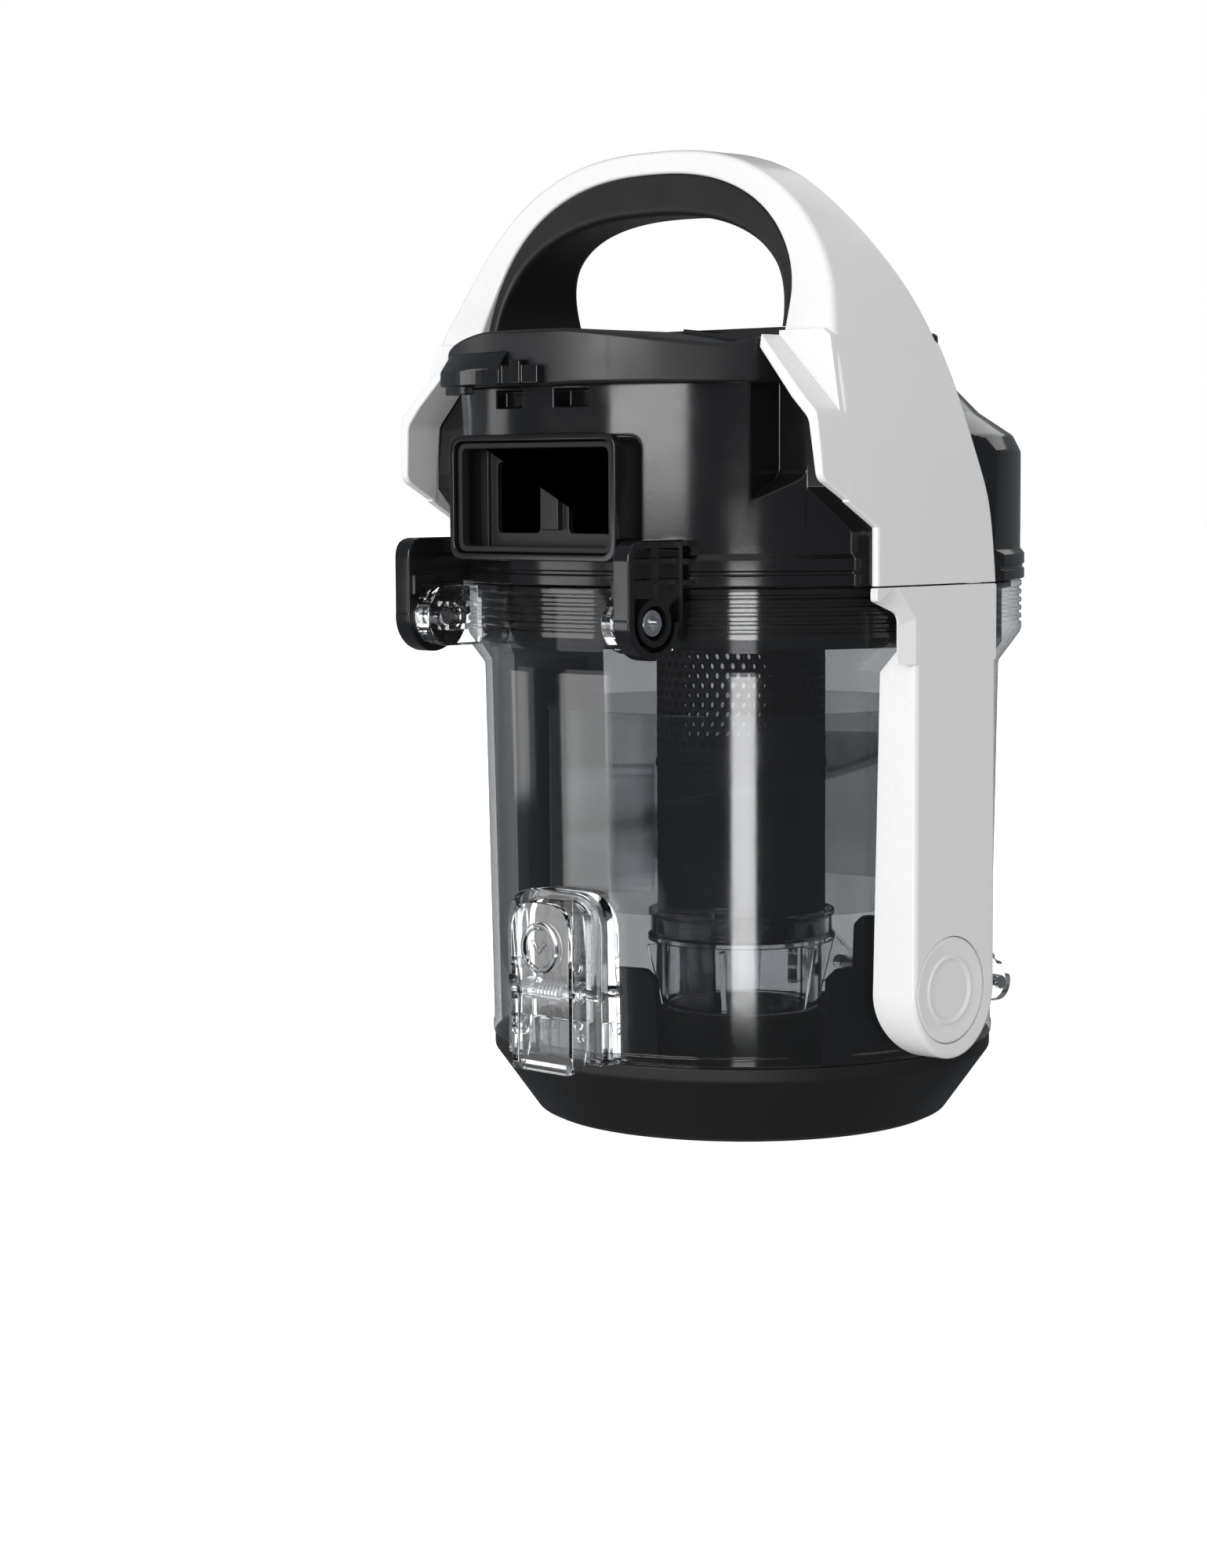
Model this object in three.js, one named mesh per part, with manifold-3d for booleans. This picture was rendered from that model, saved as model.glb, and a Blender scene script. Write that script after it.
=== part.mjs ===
// Removable dust container of a bagless canister vacuum cleaner.
// Millimetres, +Z up. The latch and the outlet port face -Y, the bin's axis is vertical.
import * as THREE from 'three';
import { mergeVertices } from 'three/addons/utils/BufferGeometryUtils.js';
import Module from 'manifold-3d';

const wasm = await Module();
wasm.setup();

// ---------------------------------------------------------------- driving dimensions
const GAP = 0.3; // clearance between touching pieces
const ROUND = 48; // facets on a large round piece
const SMALL_ROUND = 16; // facets on a small round piece
const CORNER_STEPS = 4; // steps in a small rounded corner
const FORWARD_SHIFT = 3.5; // moves the bin's axis back so that the whole box is centred
const PIN = 1.5; // radius of the latch pins
const PIN_HOLE = 1.8;
const HINGE_PIN = 2.2; // radius of the lid's hinge pin
const HINGE_HOLE = 2.5;
const SCREW = 2.4; // radius of the hinge screws' shanks
const SCREW_HOLE = 2.8;

const LID_TOP = 25;
const BIN = { bottom: LID_TOP + GAP, neck: 141.5, collar: 151.3, top: 166.5 };
const BIN_R = { bottom: 78.3, neck: 80.4, collar: 87.5, wall: 2.2, collarInner: 81.4 };
const FLAT_X = 85; // flats on the collar and head, under the white panels
const PANEL_X = 88; // outer face of the white side panels

const HEAD_BOTTOM = 167.2;
const HEAD_R = { rim: 88.3, body: 87, inner: 82.2 };
const DECK = { bottom: 226.7, top: 241.7, centreY: -22, radius: 75, halfWidth: 62.7, wall: 2.6 };

const ARCH = { half: 88, base: 185, height: 111.5, power: 2.55 };
const ARCH_INNER = { half: 63.4, base: 238.3, height: 51.2, power: 2.4 };
const FINGER_GAP = { half: 59.3, base: 241, height: 36, power: 2.4 };
const SHELL_WALL = 2.7;
const CHEEK_TOP = 236; // top of the head's side walls, under the handle's feet

const PORT = { half: 34.6, bottom: 174.5, top: 211.6, face: -92.5, wall: 2, corner: 5 };

const HEAD_HINGE = { y: -91.3, z: 157.4 };
const BRACKET = { inner: 42.5, outer: 49, front: -102, back: -80.5, top: 181, radius: 10.8 };
const LID_HINGE = { y: 87, z: 33, radius: 6, half: 36 };
const LATCH = { y: -82.4, z: 46, halfWidth: 10, plateIn: -87.6, plateOut: -90, bottom: 22, top: 70 };
const LATCH_FRAME = { outer: 19.8, inner: 13, top: 76, front: -84 };
const REAR_LATCH = { y: 91.6, z: 176, halfWidth: 12, plateIn: 92, plateOut: 94.8, bottom: 151, top: 188 };

const SHROUD = { radius: 26.5, wall: 1.8, bottom: 55.8, slotFrom: 112.4, slotTo: 142 };
const SKIRT = { radius: 61.1, wall: 1.6, bottom: 67.7, top: 128.2 };
const RAMP = { inner: 26.9, outer: 59.1, thickness: 1.6, top: 118, drop: 46, turn: 230 };
const INLET = { hole: 20.7, radius: 25.4, wall: 2, top: 31.5 };
const DISC = { y: -4.9, z: 46.3, radius: 15.9 };
const PANEL = { front: -24, back: 18, flatFront: -21.8, flatBack: 16.4, spurFront: -39.4, top: 166.7 };
const POCKET = { x: 84.4, front: -18, back: 12, bottom: 34, top: 139 };

// ---------------------------------------------------------------- solids
function toSolid(geometry) {
  const plain = new THREE.BufferGeometry();
  plain.setAttribute('position', geometry.getAttribute('position').clone());
  if (geometry.index) plain.setIndex(geometry.index.clone());
  const merged = mergeVertices(plain, 1e-4);
  const index = Array.from(merged.index.array);
  const triangles = [];
  for (let i = 0; i < index.length; i += 3) {
    const [a, b, c] = index.slice(i, i + 3);
    if (a !== b && b !== c && c !== a) triangles.push(a, b, c);
  }
  const vertProperties = new Float32Array(merged.getAttribute('position').array);
  if (signedVolume(vertProperties, triangles) < 0) triangles.reverse();
  const triVerts = new Uint32Array(triangles);
  return new wasm.Manifold(new wasm.Mesh({ numProp: 3, vertProperties, triVerts }));
}

function signedVolume(points, triangles) {
  const corner = (n) => new THREE.Vector3().fromArray(points, triangles[n] * 3);
  let volume = 0;
  for (let i = 0; i < triangles.length; i += 3) {
    volume += corner(i).dot(corner(i + 1).cross(corner(i + 2)));
  }
  return volume;
}

function toGeometry(solid) {
  const mesh = solid.getMesh();
  const geometry = new THREE.BufferGeometry();
  geometry.setAttribute('position', new THREE.BufferAttribute(new Float32Array(mesh.vertProperties), 3));
  geometry.setIndex(new THREE.BufferAttribute(new Uint32Array(mesh.triVerts), 1));
  return geometry;
}

function combine(operation, first, others) {
  let result = toSolid(first);
  for (const other of others) result = result[operation](toSolid(other));
  return toGeometry(result);
}

const join = (first, ...others) => combine('add', first, others);
const cut = (first, ...others) => combine('subtract', first, others);
const common = (first, ...others) => combine('intersect', first, others);

// ---------------------------------------------------------------- shape helpers
const X_FROM_DEPTH = new THREE.Matrix4().makeBasis(
  new THREE.Vector3(0, 1, 0),
  new THREE.Vector3(0, 0, 1),
  new THREE.Vector3(1, 0, 0),
);

function outline(points) {
  return new THREE.Shape(points.map(([x, y]) => new THREE.Vector2(x, y)));
}

function flatExtrude(shape, depth) {
  return new THREE.ExtrudeGeometry(shape, { depth, bevelEnabled: false, curveSegments: CORNER_STEPS });
}

function extrudeZ(shape, from, to) {
  return flatExtrude(shape, to - from).translate(0, 0, from);
}

// The shape is drawn in Y and Z.
function extrudeX(shape, from, to) {
  return flatExtrude(shape, to - from).applyMatrix4(X_FROM_DEPTH).translate(from, 0, 0);
}

// The shape is drawn in X and Z.
function extrudeY(shape, from, to) {
  return flatExtrude(shape, to - from).rotateX(Math.PI / 2).translate(0, to, 0);
}

function block(x0, x1, y0, y1, z0, z1) {
  const box = new THREE.BoxGeometry(x1 - x0, y1 - y0, z1 - z0);
  return box.translate((x0 + x1) / 2, (y0 + y1) / 2, (z0 + z1) / 2);
}

function rodX(radius, x0, x1, y, z, facets = SMALL_ROUND) {
  const rod = new THREE.CylinderGeometry(radius, radius, x1 - x0, facets).rotateZ(Math.PI / 2);
  return rod.translate((x0 + x1) / 2, y, z);
}

function rodY(radius, y0, y1, x, z) {
  return new THREE.CylinderGeometry(radius, radius, y1 - y0, SMALL_ROUND).translate(x, (y0 + y1) / 2, z);
}

// A closed profile of radius and height, turned about the bin's axis.
function turned(profile, facets = ROUND) {
  const points = [...profile, profile[0]].map(([r, z]) => new THREE.Vector2(r, z));
  return new THREE.LatheGeometry(points, facets).rotateX(Math.PI / 2);
}

function ring(inner, outer, bottom, top, facets = ROUND) {
  return turned([[inner, bottom], [outer, bottom], [outer, top], [inner, top]], facets);
}

function disc(radius, bottom, top, facets = ROUND) {
  return turned([[0, bottom], [radius, bottom], [radius, top], [0, top]], facets);
}

function roundedRectangle(x0, x1, y0, y1, r) {
  const shape = new THREE.Shape();
  shape.moveTo(x0 + r, y0);
  shape.lineTo(x1 - r, y0);
  shape.absarc(x1 - r, y0 + r, r, -Math.PI / 2, 0);
  shape.lineTo(x1, y1 - r);
  shape.absarc(x1 - r, y1 - r, r, 0, Math.PI / 2);
  shape.lineTo(x0 + r, y1);
  shape.absarc(x0 + r, y1 - r, r, Math.PI / 2, Math.PI);
  shape.lineTo(x0, y0 + r);
  shape.absarc(x0 + r, y0 + r, r, Math.PI, Math.PI * 1.5);
  return shape;
}

// Points on an arc from one angle to another, in degrees.
function arcPoints(x, y, r, from, to, steps) {
  const points = [];
  for (let i = 0; i <= steps; i += 1) {
    const angle = THREE.MathUtils.degToRad(from + ((to - from) * i) / steps);
    points.push([x + r * Math.cos(angle), y + r * Math.sin(angle)]);
  }
  return points;
}

function mirrored(geometry) {
  return toGeometry(toSolid(geometry.clone().scale(-1, 1, 1)));
}

const bothSides = (geometry) => [geometry, mirrored(geometry)];

// Points of a superelliptic arch in X and Z, from its right foot over the top to its left foot.
function archPoints({ half, base, height, power }, steps = 28) {
  const points = [];
  for (let i = 0; i <= steps; i += 1) {
    const angle = (Math.PI * i) / steps;
    const across = Math.abs(Math.cos(angle)) ** (2 / power) * Math.sign(Math.cos(angle));
    points.push([half * across, base + height * Math.sin(angle) ** (2 / power)]);
  }
  return points;
}

function shrunk(arch, by) {
  return { ...arch, half: arch.half - by, height: arch.height - by };
}

function archWidthAt({ half, base, height, power }, z) {
  return half * (1 - ((z - base) / height) ** power) ** (1 / power);
}

// ---------------------------------------------------------------- bin
function binOutside(grow = 0) {
  const profile = [
    [0, BIN.bottom], [BIN_R.bottom + grow, BIN.bottom], [BIN_R.neck + grow, BIN.neck],
    [BIN_R.collar + grow, BIN.collar], [BIN_R.collar + grow, BIN.top], [0, BIN.top],
  ];
  const width = FLAT_X + grow;
  return common(turned(profile), block(-width, width, -100, 100, 0, 200));
}

function binHollow() {
  const profile = [
    [0, 20], [BIN_R.bottom - BIN_R.wall, 20], [BIN_R.bottom - BIN_R.wall, BIN.bottom],
    [BIN_R.neck - BIN_R.wall, BIN.neck + 1], [BIN_R.collarInner, BIN.neck + 6],
    [BIN_R.collarInner, BIN.top + 5], [0, BIN.top + 5],
  ];
  return turned(profile);
}

function latchFrame() {
  const { outer, inner, top, front } = LATCH_FRAME;
  const arch = roundedRectangle(-outer, outer, BIN.bottom, top, 8);
  const opening = block(-inner, inner, front - 1, -60, BIN.bottom - 1, top - 5);
  const foot = block(-outer, outer, front, -70, BIN.bottom, BIN.bottom + 12);
  return cut(join(extrudeY(arch, front, -70), foot), opening);
}

function headKnuckle() {
  const radius = 9;
  const inner = 36;
  const outer = BRACKET.inner - GAP;
  const eye = rodX(radius, inner, outer, HEAD_HINGE.y, HEAD_HINGE.z);
  const arm = block(inner, outer, HEAD_HINGE.y, -76, HEAD_HINGE.z - radius, HEAD_HINGE.z + radius);
  return join(eye, arm);
}

function lidHingeEar() {
  const { y, z, radius, half } = LID_HINGE;
  const inner = half - 5.5;
  return join(rodX(radius, inner, half, y, z), block(inner, half, 66, y, z - 5, z + 8));
}

function binShell() {
  const rearLug = block(-10, 10, 84, 90.2, 156, 160);
  const sealGroove = ring(82.6, 84.2, BIN.top - 2, BIN.top + 1);
  const headScrewHole = rodX(SCREW_HOLE, -60, 60, HEAD_HINGE.y, HEAD_HINGE.z);
  const lidPinHole = rodX(HINGE_HOLE, -50, 50, LID_HINGE.y, LID_HINGE.z);
  const latchPinHole = rodX(PIN_HOLE, -18.3, 18.3, LATCH.y, LATCH.z);
  const outside = join(
    binOutside(), latchFrame(), rearLug, ...bothSides(headKnuckle()), ...bothSides(lidHingeEar()),
  );
  return cut(outside, binHollow(), sealGroove, headScrewHole, lidPinHole, latchPinHole);
}

function collarSeal() {
  return ring(82.8, 84, BIN.top - 1.7, BIN.top + 0.2);
}

// ---------------------------------------------------------------- white side panels of the bin
function panelPocket(grow) {
  const { x, front, back, bottom, top } = POCKET;
  return block(60, x + grow, front - grow, back + grow, bottom - grow, top + grow);
}

function lowerPanel() {
  const { front, back, flatFront, flatBack, spurFront, top } = PANEL;
  const middle = (front + back) / 2;
  const radius = (back - front) / 2;
  const sides = outline([[68, front - 3], [PANEL_X, flatFront], [PANEL_X, flatBack], [68, back + 3]]);
  const stadium = outline([
    ...arcPoints(middle, DISC.z, radius + 2.5, 180, 360, 16),
    [back + 2.5, BIN.neck + 6], [front - 2.5, BIN.neck + 6],
  ]);
  const lower = common(
    extrudeZ(sides, 20, 150), extrudeX(stadium, 60, 95), block(60, 95, -60, 60, BIN.bottom, 150),
  );
  const collarPart = outline([
    [spurFront, top], [spurFront, top - 4], [-27.5, top - 8], [-27.5, BIN.neck + 5],
    [flatBack, BIN.neck + 5], [flatBack, top],
  ]);
  const upper = extrudeX(collarPart, FLAT_X + GAP, PANEL_X);
  const discSeat = rodX(DISC.radius + GAP, PANEL_X - 1.4, PANEL_X + 1, DISC.y, DISC.z, 32);
  return cut(join(lower, upper), binOutside(GAP), panelPocket(GAP), discSeat);
}

function panelBacking() {
  return cut(panelPocket(0), binOutside(GAP));
}

function trimDisc() {
  return rodX(DISC.radius, PANEL_X - 1.1, PANEL_X - 0.1, DISC.y, DISC.z, 32);
}

// ---------------------------------------------------------------- cyclone inside the bin
function cyclonePlate() {
  const bottom = BIN.neck + 7;
  const cup = [
    [SHROUD.radius + GAP, bottom], [81.1, bottom], [81.1, 163], [79, 163],
    [79, bottom + 2.4], [SHROUD.radius + GAP, bottom + 2.4],
  ];
  return turned(cup);
}

function shroudTube() {
  const { radius, wall, bottom, slotFrom, slotTo } = SHROUD;
  const flangeBottom = BIN.neck + 7 + 2.4 + GAP;
  const tube = turned([
    [radius - wall, bottom], [radius, bottom], [radius, flangeBottom], [radius + 4, flangeBottom],
    [radius + 4, flangeBottom + 1.6], [radius - wall, flangeBottom + 1.6],
  ], 48);
  const partition = disc(radius - 1, 106, 108, 48);
  const slots = [];
  for (let i = 0; i < 6; i += 1) {
    slots.push(block(-radius - 5, radius + 5, -3, 3, slotFrom, slotTo).rotateZ((Math.PI * i) / 6));
  }
  const outlet = block(-14, 14, 5, radius + 5, 76, 102);
  return cut(join(tube, partition), ...slots, outlet);
}

function cycloneSkirt() {
  return ring(SKIRT.radius - SKIRT.wall, SKIRT.radius, SKIRT.bottom, SKIRT.top, 56);
}

// A flat-sided helical plate that sinks from the right, past the front, to the left.
function spiralRamp() {
  const { inner, outer, thickness, top, drop, turn } = RAMP;
  const steps = 30;
  const positions = [];
  const index = [];
  for (let i = 0; i <= steps; i += 1) {
    const angle = THREE.MathUtils.degToRad(25 - (turn * i) / steps);
    const z = top - (drop * i) / steps;
    for (const [r, height] of [[inner, z], [outer, z], [outer, z + thickness], [inner, z + thickness]]) {
      positions.push(r * Math.cos(angle), r * Math.sin(angle), height);
    }
  }
  for (let i = 0; i < steps; i += 1) {
    for (let side = 0; side < 4; side += 1) {
      const a = i * 4 + side;
      const b = i * 4 + ((side + 1) % 4);
      index.push(a, b, a + 4, b, b + 4, a + 4);
    }
  }
  const last = steps * 4;
  index.push(0, 2, 1, 0, 3, 2, last, last + 1, last + 2, last, last + 2, last + 3);
  const plate = new THREE.BufferGeometry();
  plate.setAttribute('position', new THREE.BufferAttribute(new Float32Array(positions), 3));
  plate.setIndex(index);
  return toGeometry(toSolid(plate));
}

function tubeFootRing() {
  return ring(SHROUD.radius + GAP, 28.8, 53.4, 62, 48);
}

function inletTube() {
  const { radius, wall, top } = INLET;
  const fin = block(radius - 1, 29, -0.8, 0.8, top + 3, 52.5);
  return join(ring(radius - wall, radius, top + 0.7, SHROUD.bottom - GAP, 48), ...bothSides(fin));
}

// ---------------------------------------------------------------- filter over the cyclone
function filterFrame() {
  return turned([[69, 152], [76, 152], [76, 164.5], [69, 164.5], [69, 163], [72, 163], [72, 154], [69, 154]]);
}

function filterPleats() {
  const folds = 32;
  const points = [];
  for (let i = 0; i < folds * 2; i += 1) {
    const angle = (Math.PI * i) / folds;
    const r = i % 2 === 0 ? 71 : 64;
    points.push([r * Math.cos(angle), r * Math.sin(angle)]);
  }
  const shape = outline(points);
  shape.holes.push(new THREE.Path().absarc(0, 0, 40, 0, Math.PI * 2));
  return extrudeZ(shape, 154.4, 162.6);
}

function filterSeal() {
  return ring(76.3, 78.7, 156, 159.5);
}

// ---------------------------------------------------------------- lid
function lidArm() {
  const { y, z, radius, half } = LID_HINGE;
  const outer = half - 5.5 - GAP;
  const inner = outer - 9;
  const foot = outline([
    [68, 12], [74, 12], [y + radius - 0.6, z - 2], [y - radius, z], [80, LID_TOP - 0.2], [68, LID_TOP - 0.2],
  ]);
  return join(extrudeX(foot, inner, outer), rodX(radius, inner, outer, y, z));
}

function lidHump(turn) {
  const shape = outline([[-8.5, 13], [8.5, 13], ...arcPoints(0, 44.5, 8.5, 0, 180, 10)]);
  return extrudeY(shape, -72.5, -68.5).rotateZ(THREE.MathUtils.degToRad(turn));
}

function baseLid() {
  const { hole, radius, top } = INLET;
  const dish = turned([
    [hole, 0], [61, 0], [64, 1.6], [78.2, 20.8], [78.2, LID_TOP], [77.3, LID_TOP], [77.3, LID_TOP - 2.6],
    [74.3, LID_TOP - 2.6], [74.3, LID_TOP], [72.4, LID_TOP], [72.4, 19], [61.5, 3.2],
    [radius, 3.2], [radius, top], [24.4, top], [24.4, top - 2], [22, top - 2], [22, top], [hole, top],
  ]);
  const tab = extrudeX(outline([
    [-77, 20.5], [-80, 20.5], [-82, LID_TOP + 0.2], [-85.5, LID_TOP + 0.2], [-85.5, 29], [-79, 29],
    [-79, LID_TOP], [-77, LID_TOP],
  ]), -9.5, 9.5);
  const hollow = turned([
    [0, 3.2], [61.5, 3.2], [72.4, 19], [72.4, LID_TOP - 2.6], [77.3, LID_TOP - 2.6], [77.3, 45], [0, 45],
  ]);
  const pinHole = rodX(HINGE_HOLE, -50, 50, LID_HINGE.y, LID_HINGE.z);
  const arms = bothSides(lidArm()).map((arm) => cut(arm, hollow, pinHole));
  const humps = [14, 70, 126, 182, 238, 294].map(lidHump);
  return join(dish, tab, ...arms, ...humps);
}

function lidSeal() {
  return ring(74.6, 77, LID_TOP - 2.3, LID_TOP);
}

function inletSeal() {
  return ring(22.3, 24.1, INLET.top - 1.7, INLET.top + 0.3, 48);
}

function lidHingePin() {
  return rodX(HINGE_PIN, -LID_HINGE.half - 0.8, LID_HINGE.half + 0.8, LID_HINGE.y, LID_HINGE.z);
}

// ---------------------------------------------------------------- front latch
function latchLever() {
  const { y, z, halfWidth, plateIn, plateOut, bottom, top } = LATCH;
  const plate = extrudeY(roundedRectangle(-halfWidth, halfWidth, bottom, top, 3), plateOut, plateIn);
  const nose = block(-halfWidth + 0.5, halfWidth - 0.5, plateIn - 1, -85.8, bottom, bottom + 2.8);
  const web = block(-halfWidth, halfWidth, plateIn - 1, y, z - 3, z + 3);
  const boss = rodX(3.3, -LATCH_FRAME.inner + GAP, LATCH_FRAME.inner - GAP, y, z);
  const button = rodY(7.5, plateOut - 0.8, plateIn, 0, 59);
  const springRoom = block(-5.3, 5.3, plateIn + 0.3, -70, z - 5, z + 5);
  return cut(join(plate, nose, web, boss, button), springRoom, rodX(PIN_HOLE, -30, 30, y, z));
}

function latchPin() {
  return rodX(PIN, -18, 18, LATCH.y, LATCH.z);
}

// Turns of a closely wound coil, as a ribbed sleeve around the pin.
function coilSleeve(half, inner, outer, y, z) {
  const turns = 5;
  const pitch = (half * 2) / turns;
  const profile = [[inner, -half]];
  for (let i = 0; i < turns; i += 1) {
    const start = -half + pitch * i;
    profile.push([outer - 0.5, start], [outer, start + pitch / 2]);
  }
  profile.push([outer - 0.5, half], [inner, half]);
  return turned(profile, 12).rotateY(Math.PI / 2).translate(0, y, z);
}

function latchSpring() {
  return coilSleeve(5, 1.9, 3.1, LATCH.y, LATCH.z);
}

// ---------------------------------------------------------------- head
function underArch(inset) {
  const points = archPoints(shrunk(ARCH, inset));
  const half = ARCH.half - inset;
  return extrudeY(outline([[half, 160], ...points, [-half, 160]]), -110, 110);
}

// Space in front of the recessed side walls of the head.
function sideRecess(inner, wall) {
  const shape = outline([
    [wall, 245], [wall, 198], [wall - 14, 190], [-100, 183], [-100, 245],
  ]);
  return extrudeX(shape, inner, 100);
}

function headBody() {
  const barrel = turned([
    [0, HEAD_BOTTOM], [HEAD_R.rim, HEAD_BOTTOM], [HEAD_R.rim, 175], [HEAD_R.body, 176.5],
    [HEAD_R.body, 206], [84.5, 211], [74, 218], [66, 226.2], [0, 226.2],
  ]);
  const cheek = outline([
    [-39, 183], [-52, 197], [-52, CHEEK_TOP], [-12, CHEEK_TOP], [3, 210], [11, 188], [13, 176],
    [13, HEAD_BOTTOM], [-39, HEAD_BOTTOM],
  ]);
  const cheeks = bothSides(extrudeX(cheek, 60, 90));
  const deckRoom = block(-63.1, 63.1, -60, 60, 226.3, 250);
  const column = common(disc(HEAD_R.body, 180, 226.2), block(-60, 60, -100, -40, 180, 230));
  const body = cut(join(barrel, ...cheeks), ...bothSides(sideRecess(60, -52)), deckRoom);
  return common(join(body, column), underArch(SHELL_WALL + GAP));
}

function headHollow() {
  const hollow = turned([
    [0, 160], [HEAD_R.inner, 160], [HEAD_R.inner, 204], [70, 214.5], [62, 222.8], [0, 222.8],
  ]);
  const side = block(57, 100, -100, -49, 178, 240);
  return cut(hollow, ...bothSides(side));
}

function portDuct() {
  const { half, bottom, top, face, corner } = PORT;
  return extrudeY(roundedRectangle(-half, half, bottom, top, corner), face, -74);
}

function portHole() {
  const { half, bottom, top, face, wall, corner } = PORT;
  const inner = roundedRectangle(-half + wall, half - wall, bottom + wall, top - wall, corner - wall);
  return extrudeY(inner, face - 1, -70);
}

function hingeBracket() {
  const { inner, outer, front, back, top, radius } = BRACKET;
  const corner = 6;
  const plate = new THREE.Shape();
  plate.moveTo(front, HEAD_HINGE.z);
  plate.lineTo(front, top - corner);
  plate.absarc(front + corner, top - corner, corner, Math.PI, Math.PI / 2, true);
  plate.lineTo(back, top);
  plate.lineTo(back, HEAD_HINGE.z);
  const arm = join(rodX(radius, inner, outer, HEAD_HINGE.y, HEAD_HINGE.z, 32), extrudeX(plate, inner, outer));
  const ribs = [168.5, 174.5, 180.2].map((z) => block(inner, outer, back - 1, -70, z - 0.8, z + 0.8));
  const web = block(inner, inner + 2, back - 1, -70, 168, top);
  const screwHead = rodX(5, outer - 4, outer + 1, HEAD_HINGE.y, HEAD_HINGE.z);
  const screwHole = rodX(SCREW_HOLE, 0, outer + 1, HEAD_HINGE.y, HEAD_HINGE.z);
  return cut(join(arm, web, ...ribs), screwHead, screwHole);
}

function rearLatchEar() {
  const { y, z, halfWidth } = REAR_LATCH;
  const inner = halfWidth + GAP;
  return join(block(inner, inner + 3, 82, y, z - 4, z + 4), rodX(3.2, inner, inner + 3, y, z));
}

function headHousing() {
  const pinHole = rodX(PIN_HOLE, -30, 30, REAR_LATCH.y, REAR_LATCH.z);
  const ears = bothSides(rearLatchEar()).map((ear) => cut(ear, pinHole));
  const outside = join(headBody(), portDuct(), ...bothSides(hingeBracket()), ...ears);
  return cut(outside, headHollow(), portHole());
}

function portSeal() {
  const { half, bottom, top, face, wall } = PORT;
  const edge = wall + GAP;
  const shape = roundedRectangle(-half + edge, half - edge, bottom + edge, top - edge, 2.7);
  const inset = edge + 1.8;
  const hole = roundedRectangle(-half + inset, half - inset, bottom + inset, top - inset, 1);
  return cut(extrudeY(shape, face + 1.2, face + 4.5), extrudeY(hole, face, face + 6));
}

function portBaffle() {
  const { half, bottom, top, face, wall } = PORT;
  const edge = wall + GAP;
  const plate = extrudeY(
    roundedRectangle(-half + edge, half - edge, bottom + edge, top - edge, 2.7), face + 10, face + 12,
  );
  const windows = [-1, 1].map((side) => {
    const window = roundedRectangle(side * 15 - 9, side * 15 + 9, bottom + 8, top - 8, 2);
    return extrudeY(window, face + 8, face + 14);
  });
  return cut(plate, ...windows);
}

function hingeScrew() {
  const { inner, outer } = BRACKET;
  const { y, z } = HEAD_HINGE;
  const shank = rodX(SCREW, inner - 6, outer - 3.9, y, z);
  const top = rodX(4, outer - 3.7, outer - 0.6, y, z);
  const bridge = rodX(SCREW, outer - 4.2, outer - 3.5, y, z);
  const slot = block(outer - 1.6, outer, y - 3, y + 3, z - 0.5, z + 0.5);
  return cut(join(shank, bridge, top), slot);
}

function deckFootprint(inset) {
  const half = DECK.halfWidth - inset;
  const round = disc(DECK.radius - inset, 220, 250).translate(0, DECK.centreY, 0);
  return common(round, block(-half, half, -110, 60, 200, 260));
}

function topCover() {
  const { bottom, top, wall } = DECK;
  const whole = common(deckFootprint(0), block(-90, 90, -110, 90, bottom, top));
  const hollow = common(deckFootprint(wall), block(-90, 90, -110, 90, bottom - 5, top - 3));
  return cut(whole, hollow);
}

// A long block with a lower step at its right end, on the front of the top cover.
function dockingCatch() {
  const { centreY, radius, bottom } = DECK;
  const sector = (from, to, outer) => outline([
    ...arcPoints(0, centreY, outer, from, to, 8), ...arcPoints(0, centreY, radius + GAP, to, from, 8),
  ]);
  const longBlock = extrudeZ(sector(238, 267, radius + 4), bottom - 0.5, bottom + 9);
  const step = extrudeZ(sector(266, 278, radius + 3), bottom - 0.5, bottom + 5);
  return join(longBlock, step);
}

// ---------------------------------------------------------------- handle
function handleShell() {
  const outer = archPoints(ARCH);
  const lining = shrunk(ARCH, SHELL_WALL);
  const legFoot = CHEEK_TOP + 0.6;
  const legWidth = archWidthAt(lining, legFoot);
  const right = archPoints(lining).filter(([x, z]) => x > 0 && z < legFoot);
  const left = right.map(([x, z]) => [-x, z]);
  const { half, base } = ARCH_INNER;
  const band = outline([
    [PANEL_X, HEAD_BOTTOM], ...outer, [-PANEL_X, HEAD_BOTTOM], [-PANEL_X + SHELL_WALL, HEAD_BOTTOM],
    ...left, [-legWidth, legFoot], [-half, base], ...archPoints(ARCH_INNER).reverse().slice(1, -1),
    [half, base], [legWidth, legFoot], ...right.reverse(), [PANEL_X - SHELL_WALL, HEAD_BOTTOM],
  ]);
  const side = outline([
    [-39.4, HEAD_BOTTOM], [-39.4, 184], [-52.6, 191.5], [-52.6, 240], [-50, 243], [-47, 254], [-45, 264],
    [-42.5, 281], [-41, 298], [-22, 298], [-22.7, 282], [-19.4, 270], [-8.4, 247], [5.5, 210], [13, 191],
    [16.4, HEAD_BOTTOM],
  ]);
  const arch = common(extrudeY(band, -80, 40), extrudeX(side, -100, 100));
  return join(arch, ...bothSides(handleWing()), ...bothSides(handleShoulder()));
}

// The flat triangle between the wing's sloping top and the foot of the arch.
function handleShoulder() {
  const shape = outline([
    [63.2, 238], [86.2, 215], [ARCH.half - 2, 217],
    [82.4, 238.6], [80, 241], [63.2, 241],
  ]);
  return extrudeY(shape, -54.2, -52.3);
}

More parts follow.
